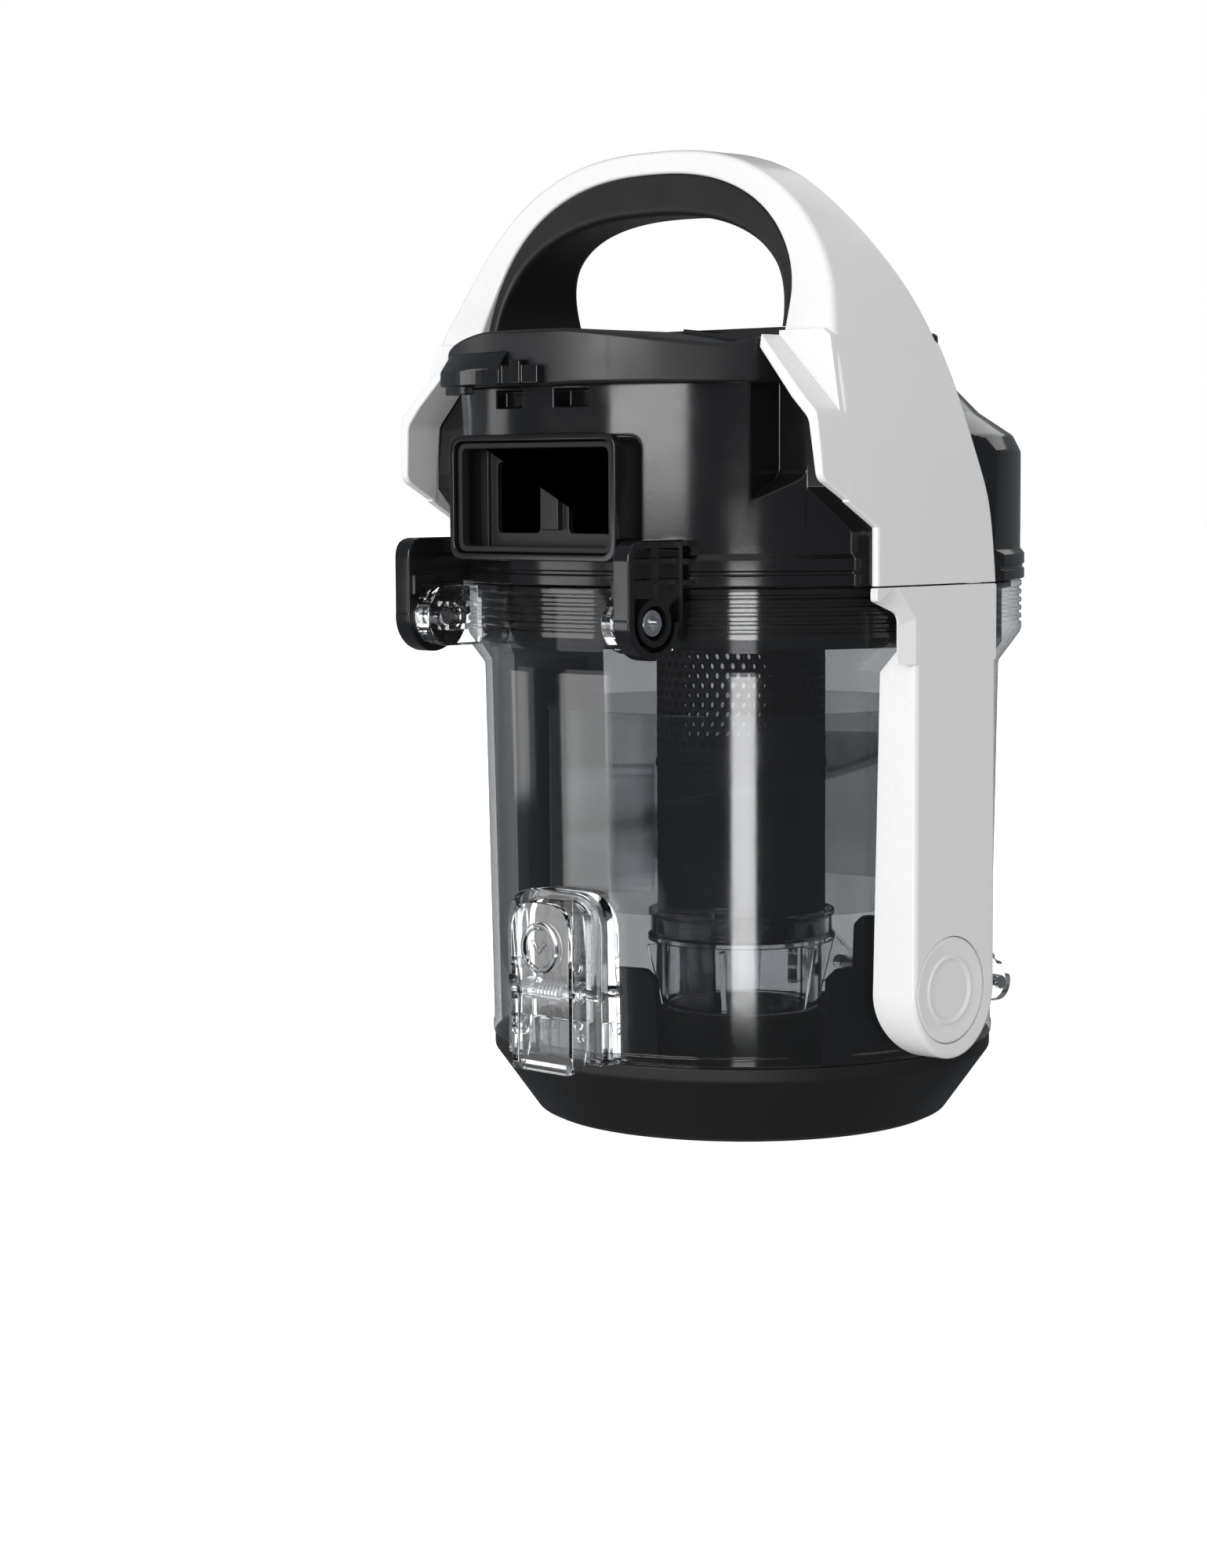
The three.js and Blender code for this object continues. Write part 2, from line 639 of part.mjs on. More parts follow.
// The rim that runs forward from each side of the handle and turns in to meet the top cover.
function handleWing() {
  const rim = outline([
    [PANEL_X, 184], [87.6, 198], [86, 216], [63.2, 239.5],
    [63.2, 235.5], [82.8, 214.5], [84.6, 198], [85.2, 184],
  ]);
  const side = outline([[-52.3, 191.5], [-64, 198], [-65, 221], [-62, 240], [-52.3, 240]]);
  return common(extrudeY(rim, -70, -40), extrudeX(side, 60, 100));
}

function handleGrip() {
  const inner = archPoints(FINGER_GAP);
  const outer = archPoints({ ...ARCH_INNER, half: ARCH_INNER.half - GAP, height: ARCH_INNER.height - GAP });
  const foot = DECK.top + GAP;
  const ringShape = outline([...outer, ...inner.reverse()]);
  const side = outline([
    [-48.5, foot], [-44, 262], [-41.5, 282], [-39.5, 290], [-23.5, 290], [-24, 281], [-21, 270], [-10, 247],
    [-8, foot],
  ]);
  return common(extrudeY(ringShape, -60, 10), extrudeX(side, -80, 80));
}

// ---------------------------------------------------------------- rear latch
function rearLatch() {
  const { y, z, halfWidth, plateIn, plateOut, bottom, top } = REAR_LATCH;
  const plate = extrudeY(roundedRectangle(-halfWidth, halfWidth, bottom, top, 3), plateIn, plateOut);
  const nose = block(-9.5, 9.5, 90.5, plateIn + 1, bottom, bottom + 4.5);
  const boss = rodX(3.2, -halfWidth, halfWidth, y, z);
  const springRoom = block(-5.3, 5.3, 80, plateIn + 0.4, z - 5, z + 5);
  const springWindow = block(-5.3, 5.3, 80, plateOut + 1, z - 3.5, z + 3.5);
  return cut(join(plate, nose, boss), springRoom, springWindow, rodX(PIN_HOLE, -30, 30, y, z));
}

function rearLatchPin() {
  return rodX(PIN, -15, 15, REAR_LATCH.y, REAR_LATCH.z);
}

function rearLatchSpring() {
  return coilSleeve(5, 1.9, 3, REAR_LATCH.y, REAR_LATCH.z);
}

// ---------------------------------------------------------------- materials
function finish(color, roughness, metalness = 0, opacity = 1) {
  return new THREE.MeshStandardMaterial({ color, roughness, metalness, opacity, transparent: opacity < 1 });
}

const glossBlack = () => finish(0x0b0c0e, 0.12);
const satinBlack = () => finish(0x121316, 0.45);
const mattBlack = () => finish(0x0e0e10, 0.6);
const rubber = () => finish(0x1a1a1c, 0.85);
const glossWhite = () => finish(0xf2f3f4, 0.2);
const smokyClear = () => finish(0x8a8f94, 0.06, 0, 0.35);
const clear = () => finish(0xd7dbde, 0.05, 0, 0.3);
const steel = () => finish(0xb9bcc0, 0.25, 1);
const filterPaper = () => finish(0xe6e2d6, 0.9);

// ---------------------------------------------------------------- assembly
const dustContainer = new THREE.Group();
dustContainer.position.y = FORWARD_SHIFT;

function addPiece(name, geometry, material) {
  geometry.computeVertexNormals();
  const mesh = new THREE.Mesh(geometry, material);
  mesh.name = name;
  dustContainer.add(mesh);
}

function addPair(name, geometry, material) {
  addPiece(`${name}_right`, geometry, material());
  addPiece(`${name}_left`, mirrored(geometry), material());
}

addPiece('bin_shell', binShell(), smokyClear());
addPiece('collar_seal', collarSeal(), rubber());
addPair('side_panel', lowerPanel(), glossWhite);
addPair('panel_backing', panelBacking(), satinBlack);
addPair('trim_disc', trimDisc(), glossWhite);
addPiece('cyclone_plate', cyclonePlate(), mattBlack());
addPiece('shroud_tube', shroudTube(), satinBlack());
addPiece('cyclone_skirt', cycloneSkirt(), smokyClear());
addPiece('spiral_ramp', spiralRamp(), smokyClear());
addPiece('tube_foot_ring', tubeFootRing(), clear());
addPiece('inlet_tube', inletTube(), clear());
addPiece('filter_frame', filterFrame(), satinBlack());
addPiece('filter_pleats', filterPleats(), filterPaper());
addPiece('filter_seal', filterSeal(), rubber());
addPiece('lid_hinge_pin', lidHingePin(), steel());
addPiece('latch_pin', latchPin(), steel());
addPiece('latch_spring', latchSpring(), steel());
addPiece('base_lid', baseLid(), mattBlack());
addPiece('lid_seal', lidSeal(), rubber());
addPiece('inlet_seal', inletSeal(), rubber());
addPiece('latch_lever', latchLever(), clear());
addPiece('head_housing', headHousing(), glossBlack());
addPiece('port_seal', portSeal(), rubber());
addPiece('port_baffle', portBaffle(), satinBlack());
addPair('hinge_screw', hingeScrew(), steel);
addPiece('top_cover', topCover(), satinBlack());
addPiece('docking_catch', dockingCatch(), glossBlack());
addPiece('handle_shell', handleShell(), glossWhite());
addPiece('handle_grip', handleGrip(), satinBlack());
addPiece('rear_latch', rearLatch(), satinBlack());
addPiece('rear_latch_pin', rearLatchPin(), steel());
addPiece('rear_latch_spring', rearLatchSpring(), steel());

export default dustContainer;
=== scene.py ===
# Looks of the removable dust container of a canister vacuum cleaner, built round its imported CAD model.
# Shapes are drawn in millimetres, with the bin's axis at X 0, Y 0, and the latch and outlet port facing -Y.
import math

import bmesh
import bpy
from mathutils import Matrix, Vector


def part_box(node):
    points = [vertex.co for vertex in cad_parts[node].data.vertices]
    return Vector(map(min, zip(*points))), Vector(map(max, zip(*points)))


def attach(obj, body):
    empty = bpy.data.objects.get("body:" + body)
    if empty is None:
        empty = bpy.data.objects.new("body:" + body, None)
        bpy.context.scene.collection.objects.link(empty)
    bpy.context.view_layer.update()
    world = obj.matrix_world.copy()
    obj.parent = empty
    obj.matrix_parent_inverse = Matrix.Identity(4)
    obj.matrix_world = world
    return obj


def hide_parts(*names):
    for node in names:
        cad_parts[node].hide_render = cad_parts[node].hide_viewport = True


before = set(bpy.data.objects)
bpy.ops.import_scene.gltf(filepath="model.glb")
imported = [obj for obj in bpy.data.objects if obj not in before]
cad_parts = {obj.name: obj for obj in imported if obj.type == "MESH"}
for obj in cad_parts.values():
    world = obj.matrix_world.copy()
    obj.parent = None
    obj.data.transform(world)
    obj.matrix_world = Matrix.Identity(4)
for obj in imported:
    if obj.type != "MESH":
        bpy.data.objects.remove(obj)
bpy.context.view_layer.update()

# ---------------------------------------------------------------- driving dimensions
MM = 0.001
SKIRT_LOW, SKIRT_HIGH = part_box("cyclone_skirt")
AXIS_Y = (SKIRT_LOW.y + SKIRT_HIGH.y) / 2
TO_ROW = Matrix.Translation((0, AXIS_Y, 0)) @ Matrix.Scale(MM, 4)

ROUND = 144  # facets on a large round piece
FINE = 40  # facets on a small round piece
CORNER = 6  # steps in a rounded corner
SMOOTH_ANGLE = math.radians(33)

LID_TOP = 25
BIN_BOTTOM, NECK, COLLAR, BIN_TOP = 25.3, 141.5, 151.3, 166.5
WALL_LOW, WALL_HIGH, COLLAR_R = 78.3, 80.4, 87.5
FLAT_X, PANEL_X = 85, 88
HEAD_BOTTOM = 167.2
CHEEK_TOP = 236
ARCH = (88, 185, 111.5, 2.55)  # half width, base, height, power
ARCH_INNER = (63.4, 238.3, 51.2, 2.4)
FINGER_GAP = (59.3, 241, 36, 2.4)
SHELL = 2.7
DECK_Y, DECK_R, DECK_HALF = -22, 75, 62.7
PORT_HALF, PORT_LOW, PORT_HIGH, PORT_FACE = 34.6, 174.5, 211.6, -92.5
HEAD_HINGE = (-91.3, 157.4)
BRACKET_IN, BRACKET_OUT = 42.5, 49
LID_HINGE = (87, 33)
LATCH = (-82.4, 46)
REAR_LATCH = (91.6, 176)
DISC = (-4.9, 46.3)
SHROUD_R, SHROUD_WALL, SHROUD_LOW = 26.5, 1.8, 55.8
HOLE_R, HOLE_ROW, HOLE_COLUMNS, HOLE_ROWS = 1.2, 3.05, 48, 12
SKIRT_R, SKIRT_WALL, SKIRT_BOTTOM, SKIRT_TOP = 61.1, 1.6, 67.7, 128.2
SCREEN_TOP = 151.6
PIN, PIN_HOLE = 1.5, 1.8
HINGE_PIN, HINGE_HOLE = 2.2, 2.5
SCREW, SCREW_HOLE = 2.4, 2.8
WIRE = 0.45  # radius of the spring wire
FIT = 0.3  # room between pieces that meet
TOUCH = 0.08  # room between pieces that are moulded as one
HEAD_R = 87  # the head above its rim, and the outlet column
CHEEK_FRONT = -50.4
WING_ROOT = -50.93  # where the wing joins the arch
WHITE_EDGE = 1.7  # rounding of a side panel


# ---------------------------------------------------------------- outlines
def rounded(points, radius, steps=CORNER):
    """The closed outline with each corner turned into an arc. A point's third number is its own radius."""
    result = []
    for i, point in enumerate(points):
        here = Vector(point[:2])
        before = Vector(points[i - 1][:2]) - here
        after = Vector(points[(i + 1) % len(points)][:2]) - here
        r = point[2] if len(point) > 2 else radius
        inside = before.angle(after, math.pi)
        if r < 1e-3 or inside > math.radians(176):
            result.append(tuple(here))
            continue
        reach = min(r / math.tan(inside / 2), before.length * 0.48, after.length * 0.48)
        start = here + before.normalized() * reach
        end = here + after.normalized() * reach
        for step in range(steps + 1):
            t = step / steps
            result.append(tuple(start * (1 - t) ** 2 + here * 2 * t * (1 - t) + end * t ** 2))
    return result


def box_outline(u0, u1, v0, v1, radius=0.0):
    return rounded([(u0, v0), (u1, v0), (u1, v1), (u0, v1)], radius)


def angles(start, end, steps):
    return [math.radians(start + (end - start) * i / steps) for i in range(steps + 1)]


def arc(u, v, r, start, end, steps):
    return [(u + r * math.cos(a), v + r * math.sin(a)) for a in angles(start, end, steps)]


def arch(shape, inset=0.0, steps=96):
    """A superelliptic arch in X and Z, from its right foot over the top to its left foot."""
    half, base, height, power = shape
    points = []
    for i in range(steps + 1):
        a = math.pi * i / steps
        across = math.copysign(abs(math.cos(a)) ** (2 / power), math.cos(a))
        points.append(((half - inset) * across, base + (height - inset) * math.sin(a) ** (2 / power)))
    return points


def arch_width(shape, inset, z):
    half, base, height, power = shape
    return (half - inset) * (1 - ((z - base) / (height - inset)) ** power) ** (1 / power)


def smooth_line(points, steps=6):
    """An open line through the points, as a Catmull-Rom curve."""
    ends = [points[0], *points, points[-1]]
    line = []
    for i in range(len(points) - 1):
        p0, p1, p2, p3 = (Vector(p) for p in ends[i:i + 4])
        for step in range(steps):
            t = step / steps
            bend = 2 * p1 + (p2 - p0) * t + (2 * p0 - 5 * p1 + 4 * p2 - p3) * t ** 2
            line.append(tuple((bend + (3 * p1 - p0 - 3 * p2 + p3) * t ** 3) / 2))
    return [*line, tuple(points[-1])]


# ---------------------------------------------------------------- solids
def solid(points, faces):
    mesh = bpy.data.meshes.new("solid")
    mesh.from_pydata(points, [], faces)
    work = bmesh.new()
    work.from_mesh(mesh)
    bmesh.ops.remove_doubles(work, verts=work.verts, dist=1e-4)
    bmesh.ops.recalc_face_normals(work, faces=work.faces)
    work.to_mesh(mesh)
    work.free()
    return mesh


def prism(outline, axis, start, end):
    """The outline pushed along an axis. It is drawn in YZ for X, in XZ for Y and in XY for Z."""
    place = {
        "X": lambda u, v, t: (t, u, v),
        "Y": lambda u, v, t: (u, t, v),
        "Z": lambda u, v, t: (u, v, t),
    }[axis]
    count = len(outline)
    points = [place(u, v, t) for t in (start, end) for u, v in outline]
    sides = [(i, (i + 1) % count, (i + 1) % count + count, i + count) for i in range(count)]
    return solid(points, [tuple(range(count)), tuple(range(count, 2 * count)), *sides])


def block(x0, x1, y0, y1, z0, z1):
    return prism(box_outline(x0, x1, y0, y1), "Z", z0, z1)


def rod(axis, radius, start, end, u, v, steps=FINE):
    return prism(arc(u, v, radius, 0, 360 * (1 - 1 / steps), steps - 1), axis, start, end)


def turned(profile, steps=ROUND, flat=None):
    """A closed profile of radius and height, turned about the bin's axis, with flats at X -flat and flat."""
    points, faces, rings = [], [], []
    for r, z in profile:
        count = 1 if r < 1e-6 else steps
        rings.append([len(points) + i for i in range(count)])
        for i in range(count):
            a = 2 * math.pi * i / steps
            x = r * math.cos(a)
            points.append((x if flat is None else max(-flat, min(flat, x)), r * math.sin(a), z))
    for low, high in zip(rings, rings[1:] + rings[:1]):
        for i in range(steps if max(len(low), len(high)) > 1 else 0):
            j = (i + 1) % steps
            corners = [low[i % len(low)], low[j % len(low)], high[j % len(high)], high[i % len(high)]]
            faces.append(tuple(dict.fromkeys(corners)))
    return solid(points, faces)


def loft(sections):
    """A solid through closed sections that all have the same number of points."""
    count = len(sections[0])
    faces = [tuple(range(count)), tuple(range((len(sections) - 1) * count, len(sections) * count))]
    for i in range(len(sections) - 1):
        for k in range(count):
            j = (k + 1) % count
            faces.append((i * count + k, i * count + j, (i + 1) * count + j, (i + 1) * count + k))
    return solid([point for section in sections for point in section], faces)


def depth_at(line, z):
    """The Y of an edge line at a height. The line's points rise in Z."""
    for (y0, z0), (y1, z1) in zip(line, line[1:]):
        if z <= z1:
            return y0 + (y1 - y0) * max(0, z - z0) / (z1 - z0)
    return line[-1][0]


def band_section(outer, inner, front, back, radii):
    """A rounded four-cornered section of a band, between an outer and an inner point in X and Z."""
    a, b = Vector(outer), Vector(inner)
    width = (b - a).length
    corners = [
        (0, depth_at(front, a.y), radii[0]), (0, depth_at(back, a.y), radii[1]),
        (width, depth_at(back, b.y), radii[2]), (width, depth_at(front, b.y), radii[3]),
    ]
    section = []
    for u, y in rounded(corners, 0, 5):
        place = a.lerp(b, u / width)
        section.append((place.x, y, place.y))
    return section


def across(pairs):
    """Pairs of outer and inner points for a whole arch, from those of its right half."""
    left = [((-a[0], a[1]), (-b[0], b[1])) for a, b in reversed(pairs[:-1])]
    return [*pairs, *left]


def evaluated(holder):
    graph = bpy.context.evaluated_depsgraph_get()
    return bpy.data.meshes.new_from_object(holder.evaluated_get(graph))


def holder_of(mesh):
    holder = bpy.data.objects.new("work", mesh)
    bpy.context.scene.collection.objects.link(holder)
    return holder


def combined(operation, first, others):
    holders = [holder_of(mesh) for mesh in (first, *others)]
    for tool in holders[1:]:
        step = holders[0].modifiers.new("step", "BOOLEAN")
        step.operation = operation
        step.solver = "EXACT"
        step.object = tool
    result = evaluated(holders[0])
    for holder in holders:
        bpy.data.objects.remove(holder)
    return result


def join(first, *others):
    return combined("UNION", first, others)


def cut(first, *others):
    return combined("DIFFERENCE", first, others)


def common(first, *others):
    return combined("INTERSECT", first, others)


def mirrored(mesh):
    other = mesh.copy()
    other.transform(Matrix.Scale(-1, 4, (1, 0, 0)))
    other.flip_normals()
    return other


def both(mesh):
    return [mesh, mirrored(mesh)]


def spun(mesh, degrees):
    other = mesh.copy()
    other.transform(Matrix.Rotation(math.radians(degrees), 4, "Z"))
    return other


def softened(mesh, width, segments=3, angle=38, clamp=False):
    """The mesh with its sharp edges rounded. A clamped bevel stops where it would meet another."""
    work = bmesh.new()
    work.from_mesh(mesh)
    bmesh.ops.remove_doubles(work, verts=work.verts, dist=0.012)
    bmesh.ops.dissolve_degenerate(work, edges=work.edges, dist=0.01)
    bmesh.ops.dissolve_limit(
        work, angle_limit=math.radians(0.6), verts=work.verts, edges=work.edges,
        use_dissolve_boundaries=False,
    )
    work.to_mesh(mesh)
    work.free()
    holder = holder_of(mesh)
    bevel = holder.modifiers.new("bevel", "BEVEL")
    bevel.width = width
    bevel.segments = segments
    bevel.limit_method = "ANGLE"
    bevel.angle_limit = math.radians(angle)
    bevel.use_clamp_overlap = clamp
    result = evaluated(holder)
    bpy.data.objects.remove(holder)
    return result


def welded(mesh):
    """The mesh without the slivers that a join leaves where edges nearly meet."""
    work = bmesh.new()
    work.from_mesh(mesh)
    bmesh.ops.remove_doubles(work, verts=work.verts, dist=0.03)
    bmesh.ops.dissolve_degenerate(work, edges=work.edges, dist=0.02)
    work.to_mesh(mesh)
    work.free()
    return mesh


# ---------------------------------------------------------------- materials
def fill(node, values):
    """Sets a node's inputs by name."""
    for socket, value in values.items():
        node.inputs[socket].default_value = value
    return node


def noise(nodes, links, scale, detail=4.0, stretch=(1, 1, 1)):
    place = nodes.new("ShaderNodeTexCoord")
    mapping = fill(nodes.new("ShaderNodeMapping"), {"Scale": stretch})
    texture = fill(nodes.new("ShaderNodeTexNoise"), {"Scale": scale, "Detail": detail})
    links.new(place.outputs["Object"], mapping.inputs["Vector"])
    links.new(mapping.outputs["Vector"], texture.inputs["Vector"])
    return texture.outputs["Fac"]


def ranged(nodes, links, source, low, high, source_low=0.3, source_high=0.7):
    limits = {"From Min": source_low, "From Max": source_high, "To Min": low, "To Max": high}
    node = fill(nodes.new("ShaderNodeMapRange"), limits)
    links.new(source, node.inputs["Value"])
    return node.outputs["Result"]


def bumped(nodes, links, source, strength, distance):
    node = fill(nodes.new("ShaderNodeBump"), {"Strength": strength, "Distance": distance})
    links.new(source, node.inputs["Height"])
    return node.outputs["Normal"]


def blank(name):
    material = bpy.data.materials.new(name)
    material.use_nodes = True
    nodes, links = material.node_tree.nodes, material.node_tree.links
    return material, nodes, links, nodes["Principled BSDF"]


def moulded(name, colour, shade, rough, grain, depth, coat=0.0, metal=0.0, sheen=0.0, scuff=0.03):
    """Moulded plastic, rubber or metal: colour drifts a little, and roughness has clouds and fine scuffs."""
    material, nodes, links, shader = blank(name)
    mix = nodes.new("ShaderNodeMix")
    mix.data_type = "RGBA"
    fill(mix, {"A": (*colour, 1), "B": (*[c * shade for c in colour], 1)})
    links.new(ranged(nodes, links, noise(nodes, links, 28), 0, 1), mix.inputs["Factor"])
    links.new(mix.outputs["Result"], shader.inputs["Base Color"])
    clouds = ranged(nodes, links, noise(nodes, links, 70), rough[0], rough[1])
    scuffs = ranged(nodes, links, noise(nodes, links, 420, 2, (1, 1, 0.06)), 0, scuff, 0.6, 0.75)
    total = nodes.new("ShaderNodeMath")
    links.new(clouds, total.inputs[0])
    links.new(scuffs, total.inputs[1])
    links.new(total.outputs["Value"], shader.inputs["Roughness"])
    links.new(bumped(nodes, links, noise(nodes, links, grain, 2), depth, 0.0001), shader.inputs["Normal"])
    fill(shader, {"Metallic": metal, "Coat Weight": coat, "Coat Roughness": 0.06, "Sheen Weight": sheen})
    return material


def thin_clear(name, tint, rough, reflect=0.05):
    """A thin clear wall: it passes tinted light straight through and reflects more towards its edges."""
    material, nodes, links, shader = blank(name)
    gloss = fill(nodes.new("ShaderNodeBsdfGlossy"), {"Color": (1, 1, 1, 1)})
    links.new(ranged(nodes, links, noise(nodes, links, 60), rough[0], rough[1]), gloss.inputs["Roughness"])
    normal = bumped(nodes, links, noise(nodes, links, 240, 1), 0.03, 0.0002)
    links.new(normal, gloss.inputs["Normal"])
    passing = fill(nodes.new("ShaderNodeBsdfTransparent"), {"Color": (*tint, 1)})
    edge = fill(nodes.new("ShaderNodeLayerWeight"), {"Blend": 0.5})
    power = nodes.new("ShaderNodeMath")
    power.operation = "POWER"
    power.inputs[1].default_value = 4.0
    links.new(edge.outputs["Facing"], power.inputs[0])
    share = ranged(nodes, links, power.outputs["Value"], reflect, 0.75, 0, 1)
    mix = nodes.new("ShaderNodeMixShader")
    links.new(share, mix.inputs["Fac"])
    links.new(passing.outputs["BSDF"], mix.inputs[1])
    links.new(gloss.outputs["BSDF"], mix.inputs[2])
    links.new(mix.outputs["Shader"], nodes["Material Output"].inputs["Surface"])
    nodes.remove(shader)
    return material


def solid_clear(name, tint, rough):
    """Thick clear plastic that bends what is behind it and lets lamps through."""
    material, nodes, links, shader = blank(name)
    fill(shader, {"Base Color": (*tint, 1), "Transmission Weight": 1.0, "IOR": 1.49})
    links.new(ranged(nodes, links, noise(nodes, links, 90), rough[0], rough[1]), shader.inputs["Roughness"])
    links.new(bumped(nodes, links, noise(nodes, links, 300, 1), 0.04, 0.0002), shader.inputs["Normal"])
    passing = fill(nodes.new("ShaderNodeBsdfTransparent"), {"Color": (*tint, 1)})
    path = nodes.new("ShaderNodeLightPath")
    mix = nodes.new("ShaderNodeMixShader")
    links.new(path.outputs["Is Shadow Ray"], mix.inputs["Fac"])
    links.new(shader.outputs["BSDF"], mix.inputs[1])
    links.new(passing.outputs["BSDF"], mix.inputs[2])
    links.new(mix.outputs["Shader"], nodes["Material Output"].inputs["Surface"])
    return material


# Each look is its slot and its material.
WHITE = ("gloss_white", moulded(
    "gloss_white_plastic", (0.77, 0.772, 0.775), 0.985, (0.24, 0.32), 900, 0.05, coat=0.25,
))
GLOSS_BLACK = ("gloss_black", moulded(
    "gloss_black_plastic", (0.0075, 0.0078, 0.0085), 0.8, (0.10, 0.17), 700, 0.04,
))
SATIN_BLACK = ("satin_black", moulded(
    "satin_black_plastic", (0.012, 0.0125, 0.014), 0.8, (0.34, 0.44), 2600, 0.16,
))
MATT_BLACK = ("matt_black", moulded(
    "matt_black_plastic", (0.0065, 0.0067, 0.0072), 0.8, (0.46, 0.56), 3000, 0.22,
))
SOFT_GRIP = ("soft_grip", moulded(
    "soft_grip", (0.0075, 0.0078, 0.009), 0.8, (0.42, 0.52), 2200, 0.2, sheen=0.03,
))
RUBBER = ("rubber", moulded("seal_rubber", (0.011, 0.011, 0.012), 0.75, (0.62, 0.74), 1800, 0.25))
PAPER = ("filter_paper", moulded("filter_paper", (0.62, 0.60, 0.54), 0.86, (0.85, 0.95), 1500, 0.5))
STEEL = ("steel", moulded("bright_steel", (0.62, 0.63, 0.65), 0.9, (0.16, 0.26), 1600, 0.06, metal=1.0))
SMOKY = ("smoky_clear", thin_clear("smoky_clear_plastic", (0.655, 0.66, 0.668), (0.06, 0.10)))
CYCLONE_CLEAR = ("clear", thin_clear("cyclone_clear_plastic", (0.83, 0.835, 0.84), (0.10, 0.16), 0.06))
CLEAR = ("clear", solid_clear("clear_plastic", (0.93, 0.94, 0.95), (0.015, 0.04)))


# ---------------------------------------------------------------- pieces
def piece(name, mesh, body, look, *nodes):
    """A mesh drawn in millimetres becomes a piece that rides on a body and stands for the CAD nodes."""
    slot, material = look
    placed = mesh.copy()
    placed.transform(TO_ROW)
    placed.materials.clear()
    placed.materials.append(material)
    for face in placed.polygons:
        face.material_index = 0
        face.use_smooth = True
    placed.set_sharp_from_angle(angle=SMOOTH_ANGLE)
    holder = bpy.data.objects.new(name, placed)
    bpy.context.scene.collection.objects.link(holder)
    even = holder.modifiers.new("even normals", "WEIGHTED_NORMAL")
    even.keep_sharp = True
    even.weight = 60
    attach(holder, body)
    if nodes:
        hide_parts(*nodes)
    return holder


def pair(name, mesh, body, look, node=None):
    for side, shape in zip(("right", "left"), both(mesh)):
        piece(f"{name}_{side}", shape, body, look, *([f"{node}_{side}"] if node else []))


# ---------------------------------------------------------------- bin
def bin_outside(grow=0.0, low=BIN_BOTTOM):
    return turned([
        (0, low), (WALL_LOW + grow, low), (WALL_LOW + grow, BIN_BOTTOM), (WALL_HIGH + grow, NECK),
        (COLLAR_R + grow, COLLAR), (COLLAR_R + grow, BIN_TOP), (0, BIN_TOP),
    ], flat=FLAT_X + grow)


def bin_wall():
    ridges = []
    for i in range(5):
        z = COLLAR + 2.2 + 2.5 * i
        ridges += [(COLLAR_R, z), (COLLAR_R - 0.7, z + 0.3), (COLLAR_R - 0.7, z + 1.1), (COLLAR_R, z + 1.4)]
    profile = [
        (WALL_LOW - 2.2, BIN_BOTTOM, 0.3), (WALL_LOW + 0.4, BIN_BOTTOM, 0.4), (WALL_LOW + 0.5, 28, 0.4),
        (WALL_LOW + 0.05, 28.5, 0.3), (WALL_HIGH, NECK, 3), (COLLAR_R - 0.4, COLLAR - 0.7, 1),
        (COLLAR_R, COLLAR + 0.6, 0.5), *[(r, z, 0.15) for r, z in ridges], (COLLAR_R, BIN_TOP, 0.3),
        (84.2, BIN_TOP, 0.1), (84.2, BIN_TOP - 2, 0.1), (82.6, BIN_TOP - 2, 0.1), (82.6, BIN_TOP, 0.1),
        (81.4, BIN_TOP, 0.2), (81.4, NECK + 6, 1), (WALL_HIGH - 2.2, NECK + 1, 3), (WALL_LOW - 2.2, 29, 0.3),
    ]
    return turned(rounded(profile, 0.3, 3), 192, FLAT_X)


def latch_frame():
    outer = [(-19.8, BIN_BOTTOM, 0), (19.8, BIN_BOTTOM, 0), (19.8, 76.2, 12), (-19.8, 76.2, 12)]
    opening = [(-13, 20, 0), (13, 20, 0), (13, 73.6, 9), (-13, 73.6, 9)]
    arched = cut(prism(rounded(outer, 0, 10), "Y", -84, -72), prism(rounded(opening, 0, 10), "Y", -90, -60))
    foot = block(-13.5, 13.5, -80.6, -74, BIN_BOTTOM, 37)
    body = softened(join(arched, foot), 0.6, 3)
    bore = rod("X", PIN_HOLE, -18.3, 18.3, *LATCH)
    return cut(body, bin_outside(TOUCH, 20), bore)


def head_knuckle():
    y, z = HEAD_HINGE
    outer = BRACKET_OUT - 6.8
    arm = block(36, outer, y, -76, z - 9, z + 9)
    eye = softened(join(rod("X", 9, 36, outer, y, z, 56), arm), 0.7, 3)
    grooves = [block(34, 44, y + 1, -70, z + 3.4 * s - 0.9, z + 3.4 * s + 0.9) for s in (-1, 1)]
    ribbed = [common(g, block(37.2, 41, -100, -60, 140, 170)) for g in grooves]
    hole = rod("X", SCREW_HOLE, 30, 50, y, z)
    recess = rod("X", 4.6, 35, 37.6, y, z)
    return cut(eye, bin_outside(TOUCH), hole, recess, *ribbed)


def hinge_ear():
    y, z = LID_HINGE
    web = rounded([(66, z - 5), (y, z - 6, 0), (y + 2, z + 6, 3), (78, z + 15, 3), (66, z + 15)], 0.5)
    ear = softened(join(prism(web, "X", 30.5, 36), rod("X", 6, 30.5, 36, y, z)), 0.5, 2)
    return cut(ear, bin_outside(TOUCH, 20), rod("X", HINGE_HOLE, 20, 40, y, z))


def rear_lug():
    shape = rounded([(80, 154), (88.6, 156), (90.2, 156.8), (90.2, 160), (80, 161.5)], 0.5)
    return cut(softened(prism(shape, "X", -10, 10), 0.3, 2), bin_outside(TOUCH))


